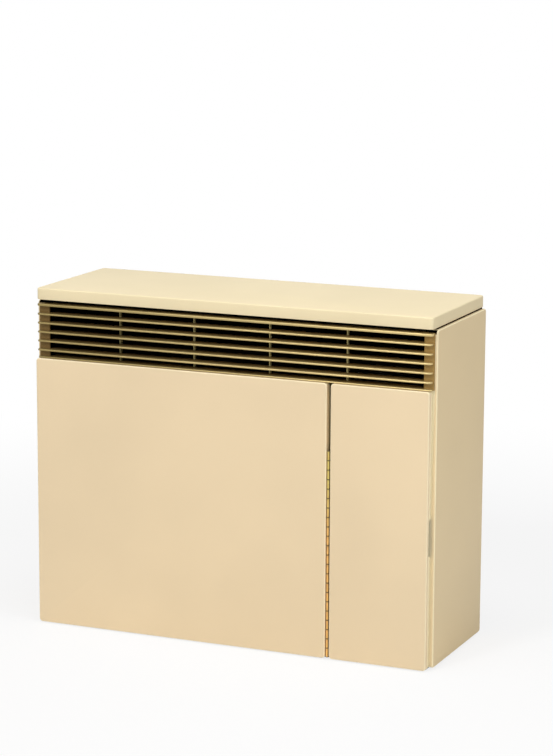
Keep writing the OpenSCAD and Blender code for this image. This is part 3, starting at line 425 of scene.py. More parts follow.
@dataclass(frozen=True)
class HingeBrass(Finish):
    """Rolled hinge strip: lacquered brass with tarnish and painted shade at each knuckle joint, and
    painted shade right of its flank.
    """

    pitch: float = 0.0154
    start: float = 0.004
    low_tone: Colour = (0.95, 0.74, 0.42)
    flank: float = 0.1746

    def _surface(self, sheet: ShaderSheet) -> Sockets:
        """Darken the strip at its joints with tarnish and painted shade, paint shade right of its
        flank, and scratch it along its length.

        Args:
            sheet: The material's sheet.

        Returns:
            The shader's sockets.
        """
        along = ((sheet.axis("Z") - (self.start - self.pitch * 0.5)) / self.pitch).fract()
        # Tarnish and painted shade: dark bands at the knuckle joints, standing in also for the shade
        # in the joint gaps.
        joint = 1.0 - ((along - 0.5).size() * self.pitch).ramp(0.0004, 0.0016)
        patch = sheet.noise(60.0, 4.0)
        scratch = sheet.noise(300.0, 3.0, (1, 1, 0.15))
        base = sheet.tint(sheet.axis("Z").ramp(0.19, 0.3), self.low_tone, self.colour)
        base = sheet.tint(patch.ramp(0.4, 0.8) * 0.5, base, (0.76, 0.58, 0.32))
        # Painted shade: the strip right of its flank turns dark brown, standing in for the shade in
        # the gap beside the door's edge.
        flank_shade = (sheet.axis("X") - self.flank).ramp(0.0, 0.0005)
        colour = sheet.tint(joint * 0.85, base, (0.24, 0.15, 0.06))
        colour = sheet.tint(flank_shade * 0.85, colour, (0.24, 0.13, 0.03))
        return {
            "Base Color": colour,
            "Metallic": 0.15,
            "Roughness": 0.4 + scratch * 0.16 + joint * 0.2,
            "Normal": sheet.bump(scratch, 1.2e-5),
        }


@dataclass(frozen=True)
class BronzeMoulding(Finish):
    """Moulded louvre in gold-bronze metallic paint, with painted shade towards the back and towards
    the left end.
    """

    shadow: Colour = (0.55, 0.41, 0.165)
    left_shadow: Colour = (0.36, 0.225, 0.005)
    shadow_share: float = 0.87
    left_shade_tint: Colour = (0.63, 0.61, 0.5)
    front: float = -0.1205
    fade_start: float = 0.0045
    fade_end: float = 0.0095

    def _surface(self, sheet: ShaderSheet) -> Sockets:
        """Sprinkle the paint with flakes, paint shade towards the back, and darken the left end.

        Args:
            sheet: The material's sheet.

        Returns:
            The shader's sockets.
        """
        depth = (sheet.axis("Y") - self.front).ramp(self.fade_start, self.fade_end)
        flake = sheet.cells(2600.0, "Color")
        glint = sheet.add("ShaderNodeSeparateColor", sockets={"Color": flake})
        streak = sheet.noise(34.0, 3.0, (0.3, 1, 2))
        lit = sheet.tint(streak.ramp(0.3, 0.75), self.colour, shaded(self.colour, 0.92))
        # Painted light: darker towards the left end and lighter towards the right, standing in for
        # how the light falls across the grille.
        across = sheet.axis("X").ramp(-0.5, 0.4)
        left = tuple(part * share for part, share in zip(self.colour, self.left_shade_tint))
        lit = sheet.tint(across, left, lit)
        # Painted shade: the colour darkens with depth behind the front, standing in for the shade
        # between the slats and on the border plate.
        deep_shade_colour = sheet.tint(across, self.left_shadow, self.shadow)
        painted_depth_shade = sheet.tint(depth * self.shadow_share, lit, deep_shade_colour)
        return {
            "Base Color": sheet.tint(glint * 0.16, painted_depth_shade, shaded(self.colour, 1.2)),
            "Metallic": 0.5,
            "Roughness": 0.42 + (glint - 0.5) * 0.12 + depth * 0.2,
            "Normal": sheet.bump(sheet.noise(700.0, 2.0), 1.2e-5),
        }


@dataclass(frozen=True)
class Moulded(Finish):
    """Moulded plastic or rubber with a fine spark-eroded texture."""

    roughness: float = 0.45
    texture: float = 3e-5
    dust: float = 0.1
    gloss: float = 0.5

    def _surface(self, sheet: ShaderSheet) -> Sockets:
        """Dust the plastic, over a fine texture.

        Args:
            sheet: The material's sheet.

        Returns:
            The shader's sockets.
        """
        fine = sheet.noise(1600.0, 2.0)
        patch = sheet.noise(45.0, 3.0)
        grey = tuple(0.5 * c + 0.28 for c in self.colour)
        return {
            "Base Color": sheet.tint(patch.ramp(0.45, 0.8) * self.dust, self.colour, grey),
            "Roughness": self.roughness + (fine - 0.5) * 0.12 + (patch - 0.5) * 0.1,
            "Specular IOR Level": self.gloss,
            "Normal": sheet.bump(fine, self.texture),
        }


@dataclass(frozen=True)
class HeatEnamel(Finish):
    """Heat-proof vitreous coat, speckled and chalky where it runs hottest."""

    chalk: float = 0.3
    gloss: float = 0.03

    def _surface(self, sheet: ShaderSheet) -> Sockets:
        """Speckle the coat, and turn it chalky in patches.

        Args:
            sheet: The material's sheet.

        Returns:
            The shader's sockets.
        """
        speck = sheet.cells(900.0)
        patch = sheet.noise(16.0, 4.0)
        base = sheet.tint(speck.ramp(0.1, 0.5), shaded(self.colour, 1.7), self.colour)
        return {
            "Base Color": sheet.tint(patch.ramp(0.55, 0.8) * self.chalk, base, (0.4, 0.37, 0.33)),
            "Roughness": 0.7 + (patch - 0.5) * 0.2,
            "Specular IOR Level": self.gloss,
            "Normal": sheet.bump(speck, 4e-5),
        }


@dataclass(frozen=True)
class Fibre(Finish):
    """Pressed ceramic fibre."""

    def _surface(self, sheet: ShaderSheet) -> Sockets:
        """Lay the strands of the fibre.

        Args:
            sheet: The material's sheet.

        Returns:
            The shader's sockets.
        """
        strand = sheet.noise(700.0, 5.0, (1, 1, 0.4))
        return {
            "Base Color": sheet.tint(strand, shaded(self.colour, 0.78), self.colour),
            "Roughness": 0.86 + strand * 0.1,
            "Normal": sheet.bump(strand, 2.5e-4),
        }


@dataclass(frozen=True)
class ClearPane(Finish):
    """Mica or glass pane, a little hazy."""

    def _surface(self, sheet: ShaderSheet) -> Sockets:
        """Haze the pane.

        Args:
            sheet: The material's sheet.

        Returns:
            The shader's sockets.
        """
        haze = sheet.noise(240.0, 4.0)
        return {
            "Base Color": sheet.tint(haze, self.colour, shaded(self.colour, 0.85)),
            "Roughness": 0.06 + haze * 0.14,
            "Alpha": 0.42 + haze * 0.2,
            "IOR": 1.52,
        }


class Finishes:
    """Every finish on the heater, by the part that wears it."""

    PANEL = StoveEnamel("front_panel_enamel", (0.93, 0.842, 0.695), fold_highlight_share=0.8)
    SIDE = StoveEnamel("side_panel_enamel", (0.925, 0.838, 0.67), fold_highlight_share=0.8)
    COVER = StoveEnamel("top_cover_enamel", (0.945, 0.88, 0.725), gloss=0.06, fold_highlight_share=0.15)
    # Painted shade: the inner sides of the cover and side panels are near black, standing in for the
    # shade inside the casing.
    INNER_SHADE = StoveEnamel("inner_painted_shade", (0.07, 0.055, 0.04), 0.7, gloss=0.02)
    LOUVRE = BronzeMoulding("louvre_bronze", (0.85, 0.76, 0.53))
    # Painted light: the ribs wear a paler bronze than the louvre, standing in for light reaching them
    # between the slats.
    RIB = BronzeMoulding("rib_bronze_painted_light", (0.96, 0.93, 0.7), shadow_share=0.0)
    HINGE = HingeBrass("rolled_brass", (0.88, 0.8, 0.45))
    GALVANISED = Metal("galvanised_sheet", (0.66, 0.67, 0.67), Grain.SPANGLED, 0.42)
    ZINC = Metal("zinc_plate", (0.74, 0.75, 0.76), Grain.ROLLED, 0.3, (0.55, 0.56, 0.52))
    ALUMINISED = Metal("aluminised_sheet", (0.5, 0.5, 0.49), Grain.ROLLED, 0.5)
    # Painted shade: the back frame's front faces are near black, standing in for the shade inside the
    # casing.
    BACK_SHADE = Metal("back_sheet_painted_shade", (0.12, 0.1, 0.07), Grain.ROLLED, 0.6, (0.09, 0.07, 0.05))
    # Black heat-proof coat on the air deflector, made near black to stand in also for the shade
    # inside the grille.
    BLACKED = HeatEnamel("blacked_sheet", (0.035, 0.028, 0.02), 0.02, 0.0)
    # Dark brown paint on the front frame, darkened to stand in for the warm shade seen in the door
    # gap.
    FRAME_SHADE = StoveEnamel("front_frame_painted_shade", (0.33, 0.26, 0.16), 0.6, gloss=0.02)
    EXCHANGER = HeatEnamel("exchanger_coat", (0.11, 0.1, 0.09), 0.12)
    FLUE = Metal("rolled_aluminium", (0.8, 0.81, 0.82), Grain.DRAWN, 0.34, (0.6, 0.6, 0.58), 0.2)
    BURNER = Metal("heat_tinted_steel", (0.55, 0.5, 0.46), Grain.ROLLED, 0.42, (0.3, 0.22, 0.25), 0.6)
    BRASS = Metal("machined_brass", (0.83, 0.68, 0.38), Grain.TURNED, 0.26, (0.5, 0.36, 0.2), 0.35)
    COPPER = Metal("drawn_copper", (0.78, 0.5, 0.35), Grain.DRAWN, 0.32, (0.36, 0.22, 0.15), 0.5)
    CASTING = Metal("cast_aluminium", (0.67, 0.68, 0.69), Grain.CAST, 0.5, (0.45, 0.45, 0.44))
    STEEL = Metal("plain_steel", (0.6, 0.6, 0.6), Grain.TURNED, 0.3)
    SPRING = Metal("spring_wire", (0.52, 0.53, 0.55), Grain.DRAWN, 0.28)
    RUBBER = Moulded("seal_rubber", (0.13, 0.1, 0.07), 0.72, 6e-5, 0.1, 0.08)
    # Rubber pads in the seam under the cover, coloured dark brown to stand in for the shade in that
    # seam.
    SEAL = Moulded("seam_pad_painted_shade", (0.22, 0.16, 0.09), 0.8, 6e-5, 0.1, 0.0)
    CATCH = Moulded("black_moulding", (0.11, 0.11, 0.11), 0.5)
    MAGNET = Moulded("ferrite_magnet", (0.2, 0.2, 0.21), 0.6, 5e-5)
    KNOB = Moulded("knob_plastic", (0.05, 0.048, 0.045), 0.3, 8e-6, 0.05)
    BUTTON = Moulded("button_plastic", (0.66, 0.07, 0.05), 0.28, 8e-6, 0.05)
    FASCIA = StoveEnamel("fascia_paint", (0.16, 0.155, 0.15), 0.42)
    PRINT = Moulded("scale_print", (0.9, 0.88, 0.82), 0.5, 5e-6, 0.1)
    LEAD = Moulded("silicone_lead", (0.55, 0.09, 0.06), 0.4, 1.5e-5, 0.1)
    CERAMIC = Moulded("glazed_ceramic", (0.93, 0.91, 0.86), 0.2, 4e-6, 0.06)
    GASKET = Fibre("gasket_fibre", (0.8, 0.78, 0.72))
    PANE = ClearPane("sight_pane", (0.8, 0.86, 0.86))


# Modelling


def clear_bench() -> None:
    """Leave edit mode and deselect every object."""
    if bpy.context.object is not None and bpy.context.object.mode != "OBJECT":
        bpy.ops.object.mode_set(mode="OBJECT")
    bpy.ops.object.select_all(action="DESELECT")


def main_axis(way: Vector) -> int:
    """The number of the axis that a direction mostly follows."""
    return max(range(3), key=lambda i: abs(way[i]))


def edges_along(axis: int) -> EdgeTest:
    """Make a test for the edges that run along an axis."""
    return lambda a, b: abs(a[axis] - b[axis]) > NEAR


def edges_at(axis: int, *places: float) -> EdgeTest:
    """Make a test for the edges that lie across an axis, at one of some places on it."""
    return lambda a, b: any(abs(a[axis] - p) < NEAR and abs(b[axis] - p) < NEAR for p in places)


def faces_towards(way: Vector, where: Callable[[Vector], bool] = lambda centre: True) -> FaceTest:
    """Make a test for the faces that look one way and whose centres pass a test of their own."""
    return lambda centre, normal: normal.dot(way) > 0.99 and where(centre)


def joined(pieces: Sequence["Workpiece"]) -> "Workpiece":
    """Gather some pieces into the first of them, each with its own skin."""
    return pieces[0].join(*pieces[1:])


class Workpiece:
    """One mesh on the bench, shaped with Blender's own modelling operators."""

    def __init__(self, obj: bpy.types.Object, name: str) -> None:
        """Take an object, apply its place to its mesh and name it.

        Args:
            obj: The active object.
            name: The piece's name.
        """
        self.obj = obj
        self.obj.name = name
        self.obj.data.name = name
        self._apply_place()

    def _apply_place(self) -> None:
        """Move the object's place, turn and scale into its mesh."""
        self._activate()
        bpy.ops.object.transform_apply(location=True, rotation=True, scale=True)

    def _activate(self) -> None:
        """Make this the only selected object."""
        clear_bench()
        self.obj.select_set(True)
        bpy.context.view_layer.objects.active = self.obj

    @classmethod
    def block(cls, name: str, low: Sequence[float], high: Sequence[float]) -> "Workpiece":
        """Start from a block.

        Args:
            name: The piece's name.
            low: Its lowest corner.
            high: Its highest corner.

        Returns:
            The new workpiece.
        """
        low, high = Vector(low), Vector(high)
        clear_bench()
        bpy.ops.mesh.primitive_cube_add(size=1, location=(low + high) / 2)
        bpy.context.object.scale = high - low
        return cls(bpy.context.object, name)

    @classmethod
    def bar(
        cls,
        name: str,
        centre: Sequence[float],
        axis: int,
        start: float,
        end: float,
        radius: float,
        end_radius: float | None = None,
        sides: int = 48,
    ) -> "Workpiece":
        """Start from a round or many-sided bar along one axis.

        Args:
            name: The piece's name.
            centre: A point on its middle line.
            axis: The axis that it follows, from 0 to 2.
            start: Where it begins on that axis.
            end: Where it ends there.
            radius: The radius at the start.
            end_radius: The radius at the end, if it tapers.
            sides: How many sides it has.

        Returns:
            The new workpiece.
        """
        first, last = Vector(centre), Vector(centre)
        first[axis], last[axis] = start, end
        along = last - first
        clear_bench()
        bpy.ops.mesh.primitive_cone_add(
            vertices=sides,
            radius1=radius,
            radius2=radius if end_radius is None else end_radius,
            depth=along.length,
            location=(first + last) / 2,
            rotation=along.to_track_quat("Z", "Y").to_euler(),
        )
        return cls(bpy.context.object, name)

    @classmethod
    def coil(
        cls, name: str, start: Vector, along: Vector, radius: float, wire: float, turns: int
    ) -> "Workpiece":
        """Wind a spring.

        Args:
            name: The piece's name.
            start: The centre of its first end.
            along: From there to its other end.
            radius: The radius to the middle of the wire.
            wire: The wire's own radius.
            turns: How many turns it has.

        Returns:
            The new workpiece.
        """
        clear_bench()
        bpy.ops.mesh.primitive_circle_add(
            vertices=10, radius=wire, fill_type="NGON", location=(radius, 0, wire),
            rotation=(math.pi / 2, 0, 0),
        )
        piece = cls(bpy.context.object, name)
        piece._modify(
            "SCREW", angle=2 * math.pi, iterations=turns, steps=28, render_steps=28,
            screw_offset=(along.length - 2 * wire) / turns, use_normal_calculate=True,
        )
        piece.tidy()
        turn = along.to_track_quat("Z", "Y").to_matrix().to_4x4()
        piece.place(Matrix.Translation(start) @ turn)
        return piece

    def place(self, matrix: Matrix) -> "Workpiece":
        """Move and turn the piece.

        Args:
            matrix: The move and the turn.

        Returns:
            This workpiece.
        """
        self.obj.matrix_world = matrix
        self._apply_place()
        return self

    @contextmanager
    def _editing(self, faces: bool) -> Iterator[bmesh.types.BMesh]:
        """Hold this piece in edit mode, with nothing selected.

        Args:
            faces: Select faces if true, or edges.

        Yields:
            The edit mesh, for selecting in.
        """
        self._activate()
        bpy.ops.object.mode_set(mode="EDIT")
        bpy.context.tool_settings.mesh_select_mode = (False, not faces, faces)
        bpy.ops.mesh.select_all(action="DESELECT")
        try:
            yield bmesh.from_edit_mesh(self.obj.data)
        finally:
            bpy.ops.object.mode_set(mode="OBJECT")

    def _pick_faces(self, mesh: bmesh.types.BMesh, test: FaceTest) -> bool:
        """Select the faces that pass a test of centre and normal.

        Args:
            mesh: The edit mesh.
            test: Takes a face's centre and normal.

        Returns:
            Whether any face was selected.
        """
        picked = [f for f in mesh.faces if test(f.calc_center_median(), f.normal)]
        for face in picked:
            face.select_set(True)
        bmesh.update_edit_mesh(self.obj.data)
        return bool(picked)

    def bevel(self, test: EdgeTest, width: float, segments: int = 4) -> "Workpiece":
        """Round the edges that pass a test of their two ends.

        Args:
            test: Takes an edge's two ends.
            width: The bevel's width.
            segments: Its segments.

        Returns:
            This workpiece.
        """
        with self._editing(faces=False) as mesh:
            for edge in mesh.edges:
                if test(edge.verts[0].co, edge.verts[1].co):
                    edge.select_set(True)
            bmesh.update_edit_mesh(self.obj.data)
            bpy.ops.mesh.bevel(offset=width, segments=segments, affect="EDGES")
        return self

    def inset(self, test: FaceTest, width: float, depth: float = 0.0) -> "Workpiece":
        """Inset the faces that pass a test, and push them in or out.

        Args:
            test: Takes a face's centre and normal.
            width: How far the faces' outlines move in.
            depth: How far the faces rise.

        Returns:
            This workpiece.
        """
        with self._editing(faces=True) as mesh:
            if self._pick_faces(mesh, test):
                bpy.ops.mesh.inset(thickness=width, depth=depth, use_even_offset=True)
        return self

    def pull(
        self, test: FaceTest, move: Sequence[float], squeeze: Sequence[float] = (1, 1, 1)
    ) -> "Workpiece":
        """Extrude the faces that pass a test, and scale the new end about its middle.

        Args:
            test: Takes a face's centre and normal.
            move: How far the faces travel.
            squeeze: Scale of the new end along each axis.

        Returns:
            This workpiece.
        """
        with self._editing(faces=True) as mesh:
            if self._pick_faces(mesh, test):
                bpy.ops.mesh.extrude_region_move(TRANSFORM_OT_translate={"value": tuple(move)})
                if tuple(squeeze) != (1, 1, 1):
                    ends = [f.calc_center_median() for f in mesh.faces if f.select]
                    middle = sum(ends, Vector()) / len(ends)
                    bpy.ops.transform.resize(value=tuple(squeeze), center_override=middle)
        return self

    def remove(self, test: FaceTest) -> "Workpiece":
        """Delete the faces that pass a test.

        Args:
            test: Takes a face's centre and normal.

        Returns:
            This workpiece.
        """
        with self._editing(faces=True) as mesh:
            if self._pick_faces(mesh, test):
                bpy.ops.mesh.delete(type="FACE")
        return self

    def slice(self, point: Sequence[float], normal: Sequence[float]) -> "Workpiece":
        """Cut a line round the piece where a plane meets it.

        Args:
            point: A point on the plane.
            normal: The plane's normal.

        Returns:
            This workpiece.
        """
        with self._editing(faces=True) as mesh:
            self._pick_faces(mesh, lambda centre, normal: True)
            bpy.ops.mesh.bisect(plane_co=tuple(point), plane_no=tuple(normal))
        return self

    def tidy(self) -> "Workpiece":
        """Merge doubled points and turn every face outwards.

        Returns:
            This workpiece.
        """
        with self._editing(faces=True) as mesh:
            self._pick_faces(mesh, lambda centre, normal: True)
            bpy.ops.mesh.remove_doubles(threshold=NEAR / 4)
            bpy.ops.mesh.normals_make_consistent(inside=False)
        return self

    def _modify(self, kind: str, **settings: object) -> "Workpiece":
        """Add a modifier and apply it.

        Args:
            kind: The modifier's type.
            **settings: Its settings.

        Returns:
            This workpiece.
        """
        self._activate()
        modifier = self.obj.modifiers.new(kind.lower(), kind)
        for key, value in settings.items():
            setattr(modifier, key, value)
        bpy.ops.object.modifier_apply(modifier=modifier.name)
        return self

    def thicken(self, thickness: float) -> "Workpiece":
        """Give an open skin its wall, inwards, with the second finish on its inner side.

        Args:
            thickness: The wall's thickness.

        Returns:
            This workpiece.
        """
        for _ in range(2):
            self.obj.data.materials.append(None)
        return self._modify(
            "SOLIDIFY", thickness=thickness, offset=-1.0, use_even_offset=True, material_offset=1
        )

    def soften(self, width: float) -> "Workpiece":
        """Break every sharp edge of the piece.

        Args:
            width: The width of the broken edge.

        Returns:
            This workpiece.
        """
        return self._modify(
            "BEVEL", width=width, segments=2, limit_method="ANGLE", angle_limit=SHARP_OVER,
            use_clamp_overlap=True,
        )

    def cut(self, *cutters: "Workpiece") -> "Workpiece":
        """Take the cutters' shapes out of this piece, and put the cutters away."""
        return self._combine("DIFFERENCE", cutters)

    def fuse(self, *others: "Workpiece") -> "Workpiece":
        """Make one closed skin of this piece and the others."""
        return self._combine("UNION", others)

    def trim(self, *moulds: "Workpiece") -> "Workpiece":
        """Keep what lies inside the moulds, and put the moulds away."""
        return self._combine("INTERSECT", moulds)

    def _combine(self, operation: str, others: Sequence["Workpiece"]) -> "Workpiece":
        """Run one Boolean for each other piece.

        Args:
            operation: The Boolean's operation.
            others: The pieces that it uses up.

        Returns:
            This workpiece.
        """
        for other in others:
            self._modify("BOOLEAN", operation=operation, solver="EXACT", object=other.obj)
            bpy.data.objects.remove(other.obj)
        return self

    def join(self, *others: "Workpiece") -> "Workpiece":
        """Gather other pieces into this one, each with its own skin.

        Args:
            *others: The pieces that it takes in.

        Returns:
            This workpiece.
        """
        if others:
            self._activate()
            for other in others:
                other.obj.select_set(True)
            bpy.ops.object.join()
        return self

    def copy(self, place: Matrix) -> "Workpiece":
        """Copy the piece with its own mesh.

        Args:
            place: Where the copy goes, from where this piece is.

        Returns:
            The copy.
        """
        self._activate()
        bpy.ops.object.duplicate(linked=False)
        twin = bpy.context.object
        twin.matrix_world = place
        return Workpiece(twin, self.obj.name)

    def _mark_folds(self) -> None:
        """Store how far each point lies on a rounded fold, for the enamel's painted highlight to
        read.
        """
        layer = self.obj.data.attributes.new(FOLD, "FLOAT", "POINT")
        for vert, mark in zip(self.obj.data.vertices, layer.data):
            mark.value = (1.0 - max(abs(c) for c in vert.normal)) / (1.0 - math.sqrt(0.5))

    def dress(
        self,
        name: str,
        slot: str,
        *finishes: Finish,
        body: Body = Body.CASING,
        replaces: Sequence[str] = (),
    ) -> bpy.types.Object:
        """Finish the piece and hand it over.

        Args:
            name: The piece's final name.
            slot: Not used.
            *finishes: Its finishes, in the order of its material slots.
            body: The body it moves with.
            replaces: The CAD nodes that it stands for.

        Returns:
            The finished object.
        """
        self.obj.name = name
        self.obj.data.name = name
        slots = self.obj.data.materials
        for number, finish in enumerate(finishes):
            if number == len(slots):
                slots.append(None)
            slots[number] = finish.material()
        if any(isinstance(finish, StoveEnamel) for finish in finishes):
            self._mark_folds()
        self._activate()
        bpy.ops.object.shade_smooth_by_angle(angle=SMOOTH_UNDER)
        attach(self.obj, body.value)
        if replaces:
            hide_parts(*replaces)
        LOG.info("%s: %d faces, on %s", name, len(self.obj.data.polygons), body.value)
        return self.obj


def solids_of(node: str) -> list[tuple[Vector, Vector]]:
    """Find the separate solids of a CAD node.

    Args:
        node: The node's name.

    Returns:
        The lowest and highest corner of each solid, in order of their lowest corners.
    """
    mesh = bmesh.new()
    mesh.from_mesh(frame["nodes"][node].data)
    bmesh.ops.remove_doubles(mesh, verts=mesh.verts, dist=1e-6)
    unseen, boxes = set(mesh.verts), []
    while unseen:
        queue, points = [unseen.pop()], []
        while queue:
            vert = queue.pop()
            points.append(vert.co.copy())
            for edge in vert.link_edges:
                other = edge.other_vert(vert)
                if other in unseen:
                    unseen.discard(other)
                    queue.append(other)
        low = Vector(min(p[i] for p in points) for i in range(3))
        high = Vector(max(p[i] for p in points) for i in range(3))
        boxes.append((low, high))
    mesh.free()
    return sorted(boxes, key=lambda b: tuple(round(c, 5) for c in b[0]))


def dress_node(node: str, finish: Finish, front: Finish | None = None) -> None:
    """Give a CAD node, whose shape stays, its finish.

    Args:
        node: The node's name.
        finish: What it wears.
        front: What its faces towards the front wear, if that differs.
    """
    data = frame["nodes"][node].data
    data.materials.clear()
    data.materials.append(finish.material())
    if front is not None:
        data.materials.append(front.material())
        for face in data.polygons:
            face.material_index = int(face.normal.y < -0.5)
    LOG.info("%s: kept, in %s", node, finish.name)


# Casing


@dataclass
class SheetPan:
    """A folded sheet cover: closed on one side, open on the other."""

    node: str
    face: Vector
    corner_radius: float = 5.5 * MM
    edge_radius: float = 2.5 * MM
    thickness: float = 1.0 * MM
    lip: float = 0.0
    lip_radius: float = 0.8 * MM

    def build(self) -> Workpiece:
        """Fold the pan to the size of its CAD node.

        Returns:
            The workpiece, whose inner side has the second material slot.
        """
        low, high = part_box(self.node)
        axis = main_axis(self.face)
        opened, closed = sorted((low[axis], high[axis]), key=lambda p: p * self.face[axis])
        piece = Workpiece.block(self.node, low, high)
        piece.bevel(edges_along(axis), self.corner_radius, 6)
        piece.bevel(edges_at(axis, closed), self.edge_radius, 5)
        behind = -self.face
        if self.lip:
            piece.bevel(edges_at(axis, opened), self.lip_radius, 3)
            piece.inset(faces_towards(behind), self.lip)
        piece.remove(faces_towards(behind, lambda c: not self.lip or self._in_middle(c, low, high)))
        return piece.thicken(self.thickness)

    @staticmethod
    def _in_middle(centre: Vector, low: Vector, high: Vector) -> bool:
        """Whether a face's centre is near the middle of the pan's X and Y."""
        middle = (low + high) / 2
        return abs(centre.x - middle.x) < 5 * MM and abs(centre.y - middle.y) < 5 * MM


@dataclass
class Casing:
    """The enamelled covers and the sheets behind them."""

    cover_radius: float = 7 * MM
    cover_lip: float = 10 * MM
    screw_radius: float = 3.8 * MM
    screw_depth: float = 1.8 * MM
    screw_play: float = 0.1 * MM
    corner_relief: float = 6.5 * MM
    relief_margin: float = 2.6 * MM
    pad_radius: float = 1.8 * MM
    bead_height: float = 0.7 * MM
    bead_width: float = 14 * MM
    bead_margin: float = 60 * MM
    bead_rows: tuple[float, ...] = (0.12, 0.2, 0.48)

    def build(self) -> None:
        """Make and dress the casing."""
        SheetPan("top_cover", Z_AXIS, self.cover_radius, lip=self.cover_lip).build().dress(
            "cover_shell", "cover_enamel", Finishes.COVER, Finishes.INNER_SHADE, replaces=["top_cover"]
        )
        SheetPan("front_panel", -Y_AXIS).build().dress(
            "front_panel_shell", "front_enamel", Finishes.PANEL, Finishes.PANEL,
            replaces=["front_panel"],
        )
        self._side_panel("side_panel_left", "side_shell_left", -X_AXIS)
        self._side_panel("side_panel_right", "side_shell_right", X_AXIS)
        self._cover_pads()
        self._back_beads()
        for node in ("base_tray", "partition", "compartment_roof"):
            dress_node(node, Finishes.GALVANISED)
        dress_node("back_frame", Finishes.GALVANISED, Finishes.BACK_SHADE)
        dress_node("front_frame", Finishes.FRAME_SHADE)
        dress_node("air_deflector", Finishes.BLACKED)
        dress_node("panel_hooks", Finishes.ZINC)

    def _side_panel(self, node: str, name: str, face: Vector) -> None:
        """Fold a side panel, with countersunk holes along its rear edge.

        Args:
            node: Its CAD node.
            name: The finished piece's name.
            face: Which way its closed side looks.
        """
        piece = SheetPan(node, face).build()
        self._relieve_corner(piece, node, face)
        for low, high in solids_of("rear_screws"):
            middle = (low + high) / 2
            if middle.x * face.x > 0:
                mouth = high.y + self.screw_play
                hole = Workpiece.bar(
                    "countersink", middle, Y, mouth, mouth - self.screw_depth - 2 * self.screw_play,
                    self.screw_radius + self.screw_play, self.screw_radius / 2, 24,
                )
                piece.cut(hole)
        piece.dress(name, "casing_enamel", Finishes.SIDE, Finishes.INNER_SHADE, replaces=[node])

    def _relieve_corner(self, piece: Workpiece, node: str, face: Vector) -> None:
        """Notch a side panel's fold at its upper front corner, where cover and grille meet it.

        Args:
            piece: The panel.
            node: Its CAD node.
            face: Which way its closed side looks.
        """
        low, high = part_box(node)
        outer, inner = (high.x, low.x) if face.x > 0 else (low.x, high.x)
        left, right = sorted((outer - face.x * self.relief_margin, inner - face.x * MM))
        piece.cut(
            Workpiece.block(
                "corner_relief",
                (left, low.y - MM, high.z - self.corner_relief),
                (right, low.y + self.corner_relief, high.z + MM),
            )
        )

    def _cover_pads(self) -> None:
        """Mould the rubber pads between cover and side panels."""
        pads = [Workpiece.block("cover_pad", *box) for box in solids_of("cover_pads")]
        for pad in pads:
            pad.bevel(edges_along(Z), self.pad_radius).soften(0.4 * MM)
        joined(pads).dress("cover_pad_set", "black_rubber", Finishes.SEAL, replaces=["cover_pads"])

    def _back_beads(self) -> None:
        """Press stiffening beads across the back sheet, above and below the flue."""
        low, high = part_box("back_frame")
        top, half = high.y + self.bead_height, self.bead_width / 2
        beads = []
        for height in self.bead_rows:
            bead = Workpiece.block(
                "bead",
                (low.x + self.bead_margin, high.y - 0.4 * MM, height - half),
                (high.x - self.bead_margin, top, height + half),
            )
            bead.bevel(edges_along(Y), self.bead_width * 0.48, 8)
            beads.append(bead.bevel(edges_at(Y, top), self.bead_height * 0.95))
        joined(beads).dress("back_sheet_beads", "galvanised", Finishes.GALVANISED)


